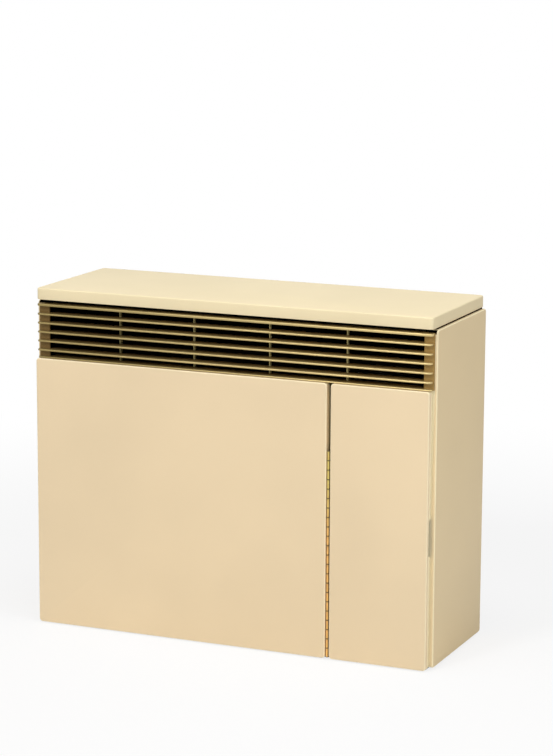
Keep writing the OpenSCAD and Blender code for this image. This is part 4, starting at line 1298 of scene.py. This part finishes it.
@dataclass
class Louvre:
    """The moulded air grille under the cover."""

    slats: int = 6
    pitch: float = 14.9 * MM
    first: float = 11.9 * MM
    slat: float = 3.0 * MM
    top_slat: float = 4.0 * MM
    nose: float = 1.1 * MM
    end_radius: float = 5.0 * MM
    blade_share: float = 0.62
    border: float = 3.0 * MM
    border_left: float = 18.5 * MM
    border_right: float = 17.0 * MM
    border_low: float = 2.4 * MM
    border_high: float = 2.0 * MM
    reach: float = 1.5 * MM
    rib: float = 2.4 * MM
    rib_depth: float = 6.0 * MM
    rib_nose: float = 0.8 * MM
    ribs: int = 4
    first_rib: float = 123.0 * MM
    lip_back: float = 2.0 * MM
    overlap: float = 0.5 * MM

    def __post_init__(self) -> None:
        """Read the grille's place from the frame."""
        self.low, self.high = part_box("air_grille")
        self.plate_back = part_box("side_panel_left")[0].y
        self.plate_front = self.plate_back - self.border
        self.open_left = self.low.x + self.border_left
        self.open_right = self.high.x - self.border_right
        self.slat_right = self.high.x - self.reach

    def build(self) -> None:
        """Mould the grille as one piece, and its ribs as another."""
        parts = [self._border(), self._bottom_lip(), *map(self._slat, range(self.slats))]
        joined(parts).dress("louvre", "grille_bronze", Finishes.LOUVRE, replaces=["air_grille"])
        ribs = [self._rib(number) for number in range(self.ribs)]
        joined(ribs).dress("louvre_ribs", "grille_bronze", Finishes.RIB)

    def _border(self) -> Workpiece:
        """Cut the flat border plate, with its opening and the rail behind it.

        Returns:
            The plate and the rail.
        """
        low, high = self.low, self.high
        plate = Workpiece.block(
            "border", (low.x, self.plate_front, low.z), (high.x, self.plate_back, high.z)
        )
        opening = Workpiece.block(
            "opening",
            (self.open_left, self.plate_front - MM, low.z + self.border_low),
            (self.open_right, self.plate_back + MM, high.z - self.border_high),
        )
        plate.cut(opening)
        rail = Workpiece.block(
            "rail",
            (self.open_left + 2 * MM, self.plate_back - MM, low.z + 0.4 * MM),
            (self.open_right, high.y, low.z + self.border_low),
        )
        return plate.soften(0.3 * MM).join(rail)

    def _plank(self, low: Sequence[float], high: Sequence[float]) -> Workpiece:
        """Shape a slat's front part, with round ends and a soft nose.

        Args:
            low: Its lowest corner.
            high: Its highest corner.

        Returns:
            The workpiece.
        """
        front, back = low[Y], high[Y]
        plank = Workpiece.block("slat", low, high)
        plank.bevel(
            lambda a, b: abs(a.z - b.z) > NEAR and a.y < front + NEAR, self.end_radius, 6
        )
        plank.bevel(
            lambda a, b: abs(a.z - b.z) < NEAR
            and min(a.y, b.y) < front + self.end_radius - NEAR
            and max(a.y, b.y) < back - NEAR,
            self.nose,
            3,
        )
        return plank

    def _slat(self, number: int) -> Workpiece:
        """Make one slat: a front plank, and the thinner blade that runs back in the opening.

        Args:
            number: Which slat it is, counted from below.

        Returns:
            The workpiece.
        """
        z = self.low.z + self.first + number * self.pitch
        back = self.plate_front + self.overlap
        end, top = self.slat_right, z + self.slat
        if number == self.slats - 1:
            end, top = self.high.x, z + self.top_slat
        slat = self._plank((self.low.x, self.low.y, z), (end, back, top))
        slat.slice((self.open_left, 0, 0), X_AXIS).slice((self.open_right, 0, 0), X_AXIS)
        middle = (self.open_left + self.open_right) / 2
        blade = faces_towards(Y_AXIS, lambda c: abs(c.x - middle) < 0.1)
        return slat.pull(blade, (0, self.high.y - back, 0), (1, 1, self.blade_share))

    def _bottom_lip(self) -> Workpiece:
        """Shape the short lip along the bottom rail.

        Returns:
            The workpiece.
        """
        back = self.plate_front + self.overlap
        return self._plank(
            (self.low.x, self.low.y + self.lip_back, self.low.z),
            (self.slat_right, back, self.low.z + self.border_low),
        )

    def _rib(self, number: int) -> Workpiece:
        """Make one of the upright ribs that carry the slats.

        Args:
            number: Which rib it is, counted from the left.

        Returns:
            The workpiece.
        """
        start = self.open_left + self.first_rib
        x = start + number * (self.open_right - start) / self.ribs
        front = self.high.y - self.rib_depth
        rib = Workpiece.block(
            "rib",
            (x - self.rib / 2, front, self.low.z + 1.4 * MM),
            (x + self.rib / 2, self.high.y, self.high.z - MM),
        )
        return rib.bevel(
            lambda a, b: max(a.y, b.y) < front + MM and abs(a.z - b.z) > NEAR, self.rib_nose, 2
        )


@dataclass
class ControlDoor:
    """The hinged door over the controls, with its finger notch and catch."""

    notch_keep: float = 6.2 * MM
    notch_low: float = 187 * MM
    notch_high: float = 247 * MM
    notch_radius: float = 3 * MM
    rivet_head: float = 0.9 * MM
    rivet_dome: float = 0.8 * MM
    catch_wall: float = 2.2 * MM
    catch_recess: float = 1.2 * MM
    pole_offset: float = 1.4 * MM
    pole_width: float = 1.6 * MM
    buffer_nose: float = 1.2 * MM

    def build(self) -> None:
        """Make the door, its hinge and its catch."""
        low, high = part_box("control_door")
        notch = Workpiece.block(
            "notch",
            (high.x - 2 * MM, low.y + self.notch_keep, self.notch_low),
            (high.x + MM, high.y + 4 * MM, self.notch_high),
        )
        notch.bevel(edges_along(X), self.notch_radius, 5)
        SheetPan("control_door", -Y_AXIS).build().cut(notch).dress(
            "door_shell", "front_enamel", Finishes.PANEL, Finishes.PANEL, body=Body.DOOR,
            replaces=["control_door"],
        )
        for node in ("hinge_leaf_frame", "hinge_leaf_door"):
            dress_node(node, Finishes.HINGE)
        dress_node("hinge_pin", Finishes.STEEL)
        self._rivets("hinge_rivets_frame", Body.CASING, Y)
        self._rivets("hinge_rivets_door", Body.DOOR, X)
        self._catch()
        dress_node("strike_plate", Finishes.ZINC)
        self._buffers()

    def _rivets(self, node: str, body: Body, axis: int) -> None:
        """Set domed rivets where the CAD's rivets are.

        Args:
            node: The rivets' CAD node.
            body: The body that they ride on.
            axis: The axis that they follow.
        """
        rivets = []
        for low, high in solids_of(node):
            middle, radius = (low + high) / 2, (high.z - low.z) / 2
            rivet = Workpiece.bar(
                "rivet", middle, axis, low[axis], high[axis], radius * 0.5, sides=16
            )
            for tip, inward in ((low[axis], self.rivet_head), (high[axis], -self.rivet_head)):
                head = Workpiece.bar("rivet_head", middle, axis, tip + inward, tip, radius, sides=20)
                rivet.join(head.bevel(edges_at(axis, tip), self.rivet_dome, 3))
            rivets.append(rivet)
        joined(rivets).dress(
            f"{node}_set", "hinge_steel", Finishes.STEEL, body=body, replaces=[node]
        )

    def _catch(self) -> None:
        """Make the magnet catch, with its two poles."""
        low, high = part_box("magnet_catch")
        middle = (low.x + high.x) / 2
        shell = Workpiece.block("catch", low, high)
        shell.inset(faces_towards(-Y_AXIS), self.catch_wall)
        recess = faces_towards(-Y_AXIS, lambda c: abs(c.x - middle) < MM)
        shell.pull(recess, (0, self.catch_recess, 0)).soften(0.5 * MM).dress(
            "catch_shell", "catch_plastic", Finishes.CATCH, replaces=["magnet_catch"]
        )
        poles = []
        for centre in (middle - self.pole_offset, middle + self.pole_offset):
            pole = Workpiece.block(
                "pole",
                (centre - self.pole_width / 2, low.y + 0.3 * MM, low.z + 4 * MM),
                (centre + self.pole_width / 2, low.y + 3 * MM, high.z - 4 * MM),
            )
            poles.append(pole.soften(0.3 * MM))
        joined(poles).dress("catch_poles", "catch_plastic", Finishes.MAGNET)

    def _buffers(self) -> None:
        """Mould the rubber buffers that the door closes on."""
        buffers = []
        for low, high in solids_of("door_buffers"):
            radius = (high.x - low.x) / 2
            foot = Workpiece.bar(
                "buffer", (low + high) / 2, Y, high.y, low.y, radius, radius * 0.82, 24
            )
            buffers.append(foot.bevel(edges_at(Y, low.y), self.buffer_nose))
        joined(buffers).dress(
            "door_buffer_set", "black_rubber", Finishes.RUBBER, replaces=["door_buffers"]
        )


# Fasteners


class ScrewKind(Enum):
    """The heads of the heater's screws."""

    PAN = "pan"
    HEX = "hex"
    FLUSH = "flush"


@dataclass
class ScrewSet:
    """All the screws of one CAD node, modelled once and copied."""

    node: str
    out: Vector
    kind: ScrewKind
    head_radius: float
    head_height: float
    shank_radius: float
    length: float
    spin: float = 0.7

    def build(self) -> None:
        """Make the set, each screw turned a little further than the one before."""
        pattern = self._pattern()
        turn = self.out.to_track_quat("Z", "Y").to_matrix().to_4x4()
        axis = main_axis(self.out)
        screws = []
        for number, (low, high) in enumerate(solids_of(self.node)):
            top = (low + high) / 2
            top[axis] = high[axis] if self.out[axis] > 0 else low[axis]
            spin = Matrix.Rotation(self.spin * number, 4, "Z")
            screws.append(pattern.copy(Matrix.Translation(top) @ turn @ spin))
        bpy.data.objects.remove(pattern.obj)
        joined(screws).dress(
            f"{self.node}_set", "fastener_zinc", Finishes.ZINC, replaces=[self.node]
        )

    def _pattern(self) -> Workpiece:
        """Make one screw at the origin, whose head's top is at zero and faces up.

        Returns:
            The screw.
        """
        origin, base, hexagon = Vector(), -self.head_height, self.kind is ScrewKind.HEX
        if self.kind is ScrewKind.FLUSH:
            head = Workpiece.bar(
                "screw", origin, Z, base, 0, self.shank_radius, self.head_radius, 32
            )
        else:
            head = Workpiece.bar(
                "screw", origin, Z, base, 0, self.head_radius, sides=6 if hexagon else 32
            )
            head.bevel(edges_at(Z, 0), self.head_height * (0.22 if hexagon else 0.6), 3)
        if not hexagon:
            arm, half = self.head_radius * 0.55, 0.42 * MM
            for x, y in ((arm, half), (half, arm)):
                head.cut(Workpiece.block("recess", (-x, -y, base * 0.62), (x, y, 0.5 * MM)))
        shank = Workpiece.bar(
            "shank", origin, Z, base + 0.1 * MM, base - self.length, self.shank_radius, sides=16
        )
        return head.join(shank)


@dataclass
class NutSet:
    """Union nuts with broken corners, one for each solid of a CAD node."""

    node: str
    length: float
    chamfer: float = 0.9 * MM

    def build(self) -> None:
        """Make the nuts."""
        nuts = []
        for low, high in solids_of(self.node):
            size = high - low
            axis = min(range(3), key=lambda i: abs(size[i] - self.length))
            radius = max(size[i] for i in range(3) if i != axis) / 2
            ends = low[axis], high[axis]
            nut = Workpiece.bar("nut", (low + high) / 2, axis, *ends, radius, sides=6)
            turned = Workpiece.bar(
                "turned", (low + high) / 2, axis, *ends, radius * 0.985, sides=36
            )
            nuts.append(nut.trim(turned.bevel(edges_at(axis, *ends), self.chamfer, 2)))
        joined(nuts).dress(
            f"{self.node}_set", "turned_brass", Finishes.BRASS, replaces=[self.node]
        )


# Controls


@dataclass
class ControlSet:
    """Knob, scale and igniter behind the door."""

    skirt: float = 18 * MM
    skirt_taper: float = 0.94
    flutes: int = 16
    flute_radius: float = 2.2 * MM
    grip_half: float = 4 * MM
    pointer_half: float = 0.7 * MM
    sleeve_hole: float = 14 * MM
    igniter_hole: float = 8.2 * MM
    scale_labels: str = "01234567"
    scale_sweep: float = 270.0
    scale_radius: float = 29 * MM
    tick_inset: float = 3.6 * MM
    digit_offset: float = 3.4 * MM
    digit: float = 7.0 * MM
    print_depth: float = 0.12 * MM
    spark_rise: float = 20 * MM
    barrel_radius: float = 8 * MM
    nut_radius: float = 12 * MM
    bore_depth: float = 28 * MM
    button_play: float = 0.05 * MM

    def __post_init__(self) -> None:
        """Read the controls' places from the frame."""
        self.knob_low, self.knob_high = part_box("control_knob")
        self.knob = (self.knob_low + self.knob_high) / 2
        self.fascia_low, self.fascia_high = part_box("control_fascia")
        self.button_low, self.button_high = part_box("piezo_button")
        self.button = (self.button_low + self.button_high) / 2

    def build(self) -> None:
        """Make and dress the controls."""
        self._knob()
        self._fascia()
        self._scale()
        self._igniter()
        self._button()
        self._spring("knob_spring", "knob_return_spring", 0.6 * MM, 6, "knob_push")
        self._spring("piezo_spring", "button_return_spring", 0.5 * MM, 5, "igniter_press")

    def _knob(self) -> None:
        """Mould the knob: fluted skirt, finger bar and a pointer line."""
        low, high, centre = self.knob_low, self.knob_high, self.knob
        radius = high.x - centre.x
        front = high.y - self.skirt
        body = Workpiece.bar(
            "knob", centre, Y, high.y, front, radius, radius * self.skirt_taper, 96
        )
        body.bevel(edges_at(Y, front), 2.2 * MM, 5)
        for i in range(self.flutes):
            angle = (i + 0.5) * 2 * math.pi / self.flutes
            spot = centre + Vector((math.cos(angle), 0, math.sin(angle))) * (radius + 0.6 * MM)
            body.cut(
                Workpiece.bar(
                    "flute", spot, Y, high.y - 4 * MM, low.y, self.flute_radius, sides=16
                )
            )
        grip = Workpiece.block(
            "grip",
            (centre.x - self.grip_half, low.y, low.z + 2 * MM),
            (centre.x + self.grip_half, front + 2 * MM, high.z - 2 * MM),
        )
        grip.bevel(edges_along(Y), 3.0 * MM, 5).bevel(edges_at(Y, low.y), 1.4 * MM, 3)
        body.fuse(grip).dress(
            "knob_body", "knob_black", Finishes.KNOB, body=Body.KNOB, replaces=["control_knob"]
        )
        line = Workpiece.block(
            "line",
            (centre.x - self.pointer_half, low.y - 0.05 * MM, centre.z + 4 * MM),
            (centre.x + self.pointer_half, low.y + 0.3 * MM, high.z - 4.5 * MM),
        )
        line.soften(0.05 * MM).dress("knob_pointer", "knob_black", Finishes.PRINT, body=Body.KNOB)

    def _fascia(self) -> None:
        """Stamp the fascia, with holes for the knob's sleeve and the igniter."""
        low, high = self.fascia_low, self.fascia_high
        plate = Workpiece.block("fascia", low, high).bevel(edges_along(Y), 6 * MM, 6)
        for centre, radius in ((self.knob, self.sleeve_hole), (self.button, self.igniter_hole)):
            plate.cut(Workpiece.bar("hole", centre, Y, low.y - MM, high.y + MM, radius))
        plate.soften(0.3 * MM).dress(
            "fascia_plate", "fascia_dark", Finishes.FASCIA, replaces=["control_fascia"]
        )

    def _stroke(self, centre: Vector, length: float, width: float, turn: float) -> Workpiece:
        """Print a short line on the fascia.

        Args:
            centre: Its centre, on the fascia's face.
            length: Its length.
            width: Its width.
            turn: Its angle in the fascia's plane, in radians.

        Returns:
            The line.
        """
        half = Vector((length, self.print_depth, width)) / 2
        mark = Workpiece.block("mark", -half, half).soften(0.04 * MM)
        return mark.place(Matrix.Translation(centre) @ Matrix.Rotation(-turn, 4, "Y"))

    def _scale(self) -> None:
        """Print the knob's scale and a spark over the igniter."""
        face = self.fascia_low.y - self.print_depth / 2
        hub = Vector((self.knob.x, face, self.knob.z))
        marks = []
        for i, label in enumerate(self.scale_labels):
            angle = math.radians(90 + self.scale_sweep * i / (len(self.scale_labels) - 1))
            away = Vector((math.cos(angle), 0, math.sin(angle)))
            tick = hub + away * (self.scale_radius - self.tick_inset)
            marks.append(self._stroke(tick, 3.2 * MM, 0.7 * MM, angle))
            marks.append(self._digit(label, hub + away * (self.scale_radius + self.digit_offset)))
        spark = Vector((self.button.x, face, self.button.z + self.spark_rise))
        for across, turn in ((-1.2 * MM, 1.1), (0.0, 2.9), (1.2 * MM, 1.1)):
            spot = spark + Vector((across, 0, -2 * across))
            marks.append(self._stroke(spot, 5.2 * MM, 0.9 * MM, turn))
        joined(marks).dress("fascia_scale", "fascia_dark", Finishes.PRINT)

    def _digit(self, label: str, centre: Vector) -> Workpiece:
        """Print one plain number, facing the front.

        Args:
            label: The number.
            centre: Where its middle goes.

        Returns:
            The number as a mesh.
        """
        clear_bench()
        bpy.ops.object.text_add(location=centre, rotation=(math.pi / 2, 0, 0))
        text = bpy.context.object
        text.data.body = label
        text.data.size = self.digit
        text.data.align_x = "CENTER"
        text.data.align_y = "CENTER"
        text.data.extrude = self.print_depth / 2
        text.data.resolution_u = 4
        bpy.ops.object.convert(target="MESH")
        return Workpiece(bpy.context.object, "digit").tidy()

    def _igniter(self) -> None:
        """Mould the igniter's collar and barrel, with its nut and bore."""
        low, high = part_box("piezo_igniter")
        centre, face = self.button, self.fascia_low.y
        bore = self.button_high.x - centre.x + self.button_play
        collar = Workpiece.bar("collar", centre, Y, face, low.y, high.x - centre.x, sides=64)
        collar.bevel(edges_at(Y, low.y), 1.6 * MM, 5)
        barrel = Workpiece.bar("barrel", centre, Y, high.y, face - MM, self.barrel_radius)
        nut = Workpiece.bar(
            "nut", centre, Y, face + 1.5 * MM, face + 5 * MM, self.nut_radius, sides=6
        )
        collar.fuse(barrel, nut.soften(0.4 * MM))
        collar.cut(Workpiece.bar("bore", centre, Y, low.y - MM, face + self.bore_depth, bore))
        collar.dress(
            "igniter_body", "catch_plastic", Finishes.CATCH, replaces=["piezo_igniter"]
        )

    def _button(self) -> None:
        """Mould the igniter's button, with a ring and a dish in its face."""
        centre, front = self.button, self.button_low.y
        button = Workpiece.bar(
            "button", centre, Y, self.button_high.y, front, self.button_high.x - centre.x
        )
        button.bevel(edges_at(Y, front), 1.0 * MM)
        button.inset(faces_towards(-Y_AXIS, lambda c: c.y < front + NEAR), 0.9 * MM)
        dish = faces_towards(-Y_AXIS, lambda c: (c - centre).xz.length < 0.5 * MM)
        button.inset(dish, 2.4 * MM, -0.7 * MM).dress(
            "igniter_button_cap", "button_red", Finishes.BUTTON, body=Body.BUTTON,
            replaces=["piezo_button"],
        )

    def _spring(self, node: str, name: str, wire: float, turns: int, joint: str) -> None:
        """Wind a return spring, and look up how far its joint travels.

        Args:
            node: Its CAD node.
            name: The finished piece's name.
            wire: The wire's radius.
            turns: How many turns it has.
            joint: The joint that presses it.
        """
        low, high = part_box(node)
        middle, length = (low + high) / 2, high.y - low.y
        seat = Vector((middle.x, high.y, middle.z))
        coil = Workpiece.coil(
            name, seat, Vector((0, -length, 0)), (high.x - low.x) / 2 - wire, wire, turns
        )
        spring = coil.dress(name, "spring_steel", Finishes.SPRING, replaces=[node])
        travel = next(j["range_m"][1] for j in frame["joints"] if j["name"] == joint)
        1 - travel / length
        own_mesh(spring)


@dataclass
class ValveTrim:
    """The gas valve, its small fittings and its screws, placed from the knob and the fascia."""

    face_back: float = 8.5 * MM
    left_of_knob: float = 36 * MM
    cap_columns: tuple[float, ...] = (8 * MM, 64 * MM)
    cap_rows: tuple[float, ...] = (-34 * MM, 30 * MM)
    cap_radius: float = 3.4 * MM
    cap_height: float = 2.6 * MM
    cap_socket: float = 1.7 * MM
    tower_across: float = 22 * MM
    tower_back: float = 36.5 * MM
    tower_radius: float = 14 * MM
    tower_height: float = 4 * MM
    slot: tuple[float, float, float] = (9 * MM, 0.9 * MM, 1.6 * MM)
    bracket_back: float = 70 * MM
    clip_places: tuple[float, ...] = (-20 * MM, 26 * MM)
    clip_half: float = 4 * MM
    clip_sheet: float = 0.9 * MM
    clip_tab: float = 9 * MM
    lead_radius: float = 2.5 * MM

    def __post_init__(self) -> None:
        """Read the valve's place from the frame."""
        low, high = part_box("control_knob")
        self.knob = (low + high) / 2
        self.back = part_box("control_fascia")[1].y
        self.valve_left = self.knob.x - self.left_of_knob

    def build(self) -> None:
        """Make the fittings, and dress the valve with what holds and turns it."""
        self._cap_screws()
        self._tower_cap()
        self._lead_clips()
        ScrewSet("fascia_screws", -Y_AXIS, ScrewKind.PAN, 3.8 * MM, 2.2 * MM, 2 * MM, 4 * MM).build()
        ScrewSet("valve_screws", Y_AXIS, ScrewKind.PAN, 4.5 * MM, 3 * MM, 2.5 * MM, 9 * MM).build()
        for node, finish in (
            ("gas_valve", Finishes.CASTING), ("valve_bracket", Finishes.ZINC),
            ("spindle_sleeve", Finishes.BRASS), ("valve_spindle", Finishes.STEEL),
            ("room_sensor", Finishes.COPPER),
        ):
            dress_node(node, finish)

    def _cap_screws(self) -> None:
        """Set four socket screws in the valve's face."""
        face = self.back + self.face_back
        front = face - self.cap_height
        caps = []
        for across in self.cap_columns:
            for rise in self.cap_rows:
                spot = Vector((self.valve_left + across, 0, self.knob.z + rise))
                cap = Workpiece.bar("cap", spot, Y, face, front, self.cap_radius, sides=24)
                socket = Workpiece.bar(
                    "socket", spot, Y, face - MM, face - 4 * MM, self.cap_socket, sides=6
                )
                caps.append(cap.bevel(edges_at(Y, front), 0.7 * MM, 3).cut(socket))
        joined(caps).dress("valve_cap_screws", "fastener_zinc", Finishes.ZINC)

    def _tower_cap(self) -> None:
        """Turn the slotted cap on the valve's tower."""
        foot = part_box("gas_valve")[1].z
        top = foot + self.tower_height
        centre = Vector((self.valve_left + self.tower_across, self.back + self.tower_back, foot))
        cap = Workpiece.bar(
            "tower_cap", centre, Z, foot, top, self.tower_radius, self.tower_radius - MM
        )
        length, width, depth = self.slot
        slot = Workpiece.block(
            "slot",
            (centre.x - length, centre.y - width, top - depth),
            (centre.x + length, centre.y + width, top + 2 * MM),
        )
        cap.bevel(edges_at(Z, top), 1.2 * MM).cut(slot)
        cap.dress("valve_tower_cap", "turned_brass", Finishes.BRASS)

    def _lead_clips(self) -> None:
        """Clip the ignition lead to the back of the valve's bracket."""
        low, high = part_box("ignition_lead")
        back = self.back + self.bracket_back
        run_y, run_z = high.y - self.lead_radius, low.z + self.lead_radius
        outer = self.lead_radius + self.clip_sheet
        under = run_z - self.lead_radius
        clips = []
        for place in self.clip_places:
            left = self.knob.x + place - self.clip_half
            right = self.knob.x + place + self.clip_half
            strap = Workpiece.bar("strap", (0, run_y, run_z), X, left, right, outer, sides=32)
            foot = Workpiece.block("foot", (left, back, run_z - outer), (right, run_y, under))
            tab = Workpiece.block(
                "tab", (left, back, under - self.clip_tab), (right, back + self.clip_sheet, under)
            )
            clips.append(strap.fuse(foot, tab).soften(0.2 * MM))
        joined(clips).dress("lead_clips", "zinc_sheet", Finishes.ZINC)


# Heating parts


@dataclass
class HeatingSet:
    """Exchanger, burner, flue and the gas line."""

    ring_bevel: float = 1.2 * MM
    ring_seat: float = 4 * MM
    ring_window: float = 7 * MM
    ring_rim: float = 2 * MM

    def build(self) -> None:
        """Dress the heating parts and model their fittings."""
        for node, finish in (
            ("heat_exchanger", Finishes.EXCHANGER), ("exchanger_feet", Finishes.GALVANISED),
            ("rear_heat_shield", Finishes.ALUMINISED), ("air_duct", Finishes.ALUMINISED),
            ("flue_baffle", Finishes.ALUMINISED), ("air_collar", Finishes.FLUE),
            ("flue_spigot", Finishes.FLUE), ("main_burner", Finishes.BURNER),
            ("burner_support", Finishes.BURNER), ("burner_plate", Finishes.ZINC),
            ("plate_gasket", Finishes.GASKET), ("sight_glass", Finishes.PANE),
            ("pilot_burner", Finishes.BRASS), ("injector", Finishes.BRASS),
            ("thermocouple", Finishes.COPPER), ("pilot_tube", Finishes.COPPER),
            ("burner_tube", Finishes.COPPER), ("ignition_lead", Finishes.LEAD),
            ("gas_inlet", Finishes.BRASS), ("ignition_electrode", Finishes.CERAMIC),
        ):
            dress_node(node, finish)
        self._glass_ring()
        NutSet("tube_nuts", 8 * MM).build()
        NutSet("inlet_union", 14 * MM, 1.6 * MM).build()
        ScrewSet("plate_screws", X_AXIS, ScrewKind.HEX, 4.6 * MM, 3.5 * MM, 2.5 * MM, 6 * MM).build()
        ScrewSet("rear_screws", Y_AXIS, ScrewKind.FLUSH, 3.8 * MM, 1.8 * MM, 2 * MM, 5 * MM).build()

    def _glass_ring(self) -> None:
        """Turn the ring that holds the sight glass."""
        low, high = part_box("sight_glass_ring")
        centre, radius = (low + high) / 2, (high.y - low.y) / 2
        ring = Workpiece.bar("ring", centre, X, low.x, high.x, radius, sides=64)
        seat = Workpiece.bar(
            "pane_seat", centre, X, low.x - MM, high.x - self.ring_rim, radius - self.ring_seat,
            sides=64,
        )
        window = Workpiece.bar(
            "window", centre, X, low.x, high.x + MM, radius - self.ring_window, sides=64
        )
        ring.bevel(edges_at(X, high.x), self.ring_bevel).cut(seat, window).dress(
            "glass_ring", "turned_brass", Finishes.BRASS, replaces=["sight_glass_ring"]
        )


# Studio


@dataclass
class Studio:
    """Floor, light and the photograph's camera."""

    azimuth: float = 23.371
    elevation: float = 11.088
    roll: float = 0.2605
    distance: float = 4.2595
    focal_px: float = 2619.73
    frame_px: float = 756.0
    sensor: float = 36.0
    target: tuple[float, float, float] = (0.04093, -0.0205, 0.43212)
    ambient: float = 0.296
    floor_size: float = 160.0
    floor_white: float = 0.8
    aim: tuple[float, float, float] = (0.0, 0.0, 0.3)

    def build(self) -> None:
        """Set up everything that isn't the heater."""
        bpy.context.scene.view_settings.view_transform = "Standard"
        self._camera()
        self._world()
        self._floor()
        for name, place, size, power in (
            ("key", (-1.1, -4.2, 3.4), (1.0, 1.0), 94.0),
            ("front_fill", (1.7, -2.1, 1.7), (1.2, 1.2), 8.0),
            ("side_fill", (2.9, -1.0, 1.6), (1.2, 1.2), 19.0),
            ("overhead", (0.2, -0.4, 2.6), (1.2, 0.8), 21.5),
        ):
            self._lamp(name, Vector(place), size, power)

    def _camera(self) -> None:
        """Stand the camera where the photograph was taken from."""
        clear_bench()
        bpy.ops.object.camera_add()
        camera = bpy.context.object
        camera.name = "photo_camera"
        camera.data.sensor_width = self.sensor
        camera.data.lens = self.sensor * self.focal_px / self.frame_px
        camera.data.clip_end = 200.0
        place = Matrix.Translation(self.target)
        for angle, axis in ((self.azimuth, "Z"), (90 - self.elevation, "X"), (self.roll, "Z")):
            place @= Matrix.Rotation(math.radians(angle), 4, axis)
        camera.matrix_world = place @ Matrix.Translation((0, 0, self.distance))
        bpy.context.scene.camera = camera

    def _world(self) -> None:
        """Light the scene evenly from all round, white where the camera or a gloss sees it."""
        world = bpy.data.worlds.new("studio")
        bpy.context.scene.world = world
        sheet = ShaderSheet(world)
        camera, glossy, through = (
            sheet.add("ShaderNodeLightPath", result=f"Is {kind} Ray")
            for kind in ("Camera", "Glossy", "Transmission")
        )
        level = sheet.add(
            "ShaderNodeMapRange",
            sockets={
                "Value": camera.most(glossy.most(through)), "To Min": self.ambient, "To Max": 1.0
            },
        )
        sky = sheet.add(
            "ShaderNodeBackground", sockets={"Color": (1.0, 1.0, 1.0, 1.0), "Strength": level}
        )
        sheet.add("ShaderNodeOutputWorld", sockets={"Surface": sky})

    def _floor(self) -> None:
        """Lay a pale floor that the camera sees as white, with the heater's soft shadow."""
        clear_bench()
        bpy.ops.mesh.primitive_plane_add(size=self.floor_size, location=(0, 0, 0))
        floor = Workpiece(bpy.context.object, "studio_floor")
        material = bpy.data.materials.new("studio_floor_paint")
        sheet = ShaderSheet(material)
        colour = sheet.tint(sheet.noise(3.0, 2.0), (0.94, 0.94, 0.94), (0.95, 0.95, 0.95))
        paint = sheet.add("ShaderNodeBsdfDiffuse", sockets={"Color": colour})
        glow = sheet.add("ShaderNodeEmission", sockets={"Strength": 1.0})
        path = sheet.add("ShaderNodeLightPath", result="Is Camera Ray")
        away = sheet.add(
            "ShaderNodeVectorMath", {"operation": "LENGTH"}, {0: sheet.place()}, result=1
        )
        share = path * (self.floor_white + (1 - self.floor_white) * away.ramp(0.6, 1.8))
        mixed = sheet.add("ShaderNodeMixShader", sockets={0: share, 1: paint, 2: glow})
        sheet.add("ShaderNodeOutputMaterial", sockets={"Surface": mixed})
        floor.obj.data.materials.append(material)

    def _lamp(self, name: str, place: Vector, size: tuple[float, float], power: float) -> None:
        """Hang one soft lamp that points at the heater.

        Args:
            name: The lamp's name.
            place: Where it hangs.
            size: Its width and height.
            power: Its power in watts.
        """
        clear_bench()
        bpy.ops.object.light_add(type="AREA", location=place)
        lamp = bpy.context.object
        lamp.name = name
        lamp.data.shape = "RECTANGLE"
        lamp.data.size, lamp.data.size_y = size
        lamp.data.energy = power
        aim = Vector(self.aim) - place
        lamp.rotation_euler = aim.to_track_quat("-Z", "Y").to_euler()


def main() -> None:
    """Build the heater's looks, part by part."""
    logging.basicConfig(level=logging.INFO, format="%(message)s")
    parts = (Studio, Casing, Louvre, ControlDoor, ControlSet, ValveTrim, HeatingSet)
    for part in parts:
        part().build()
        LOG.info("built %s", part.__name__)


if __name__ == "__main__":
    main()
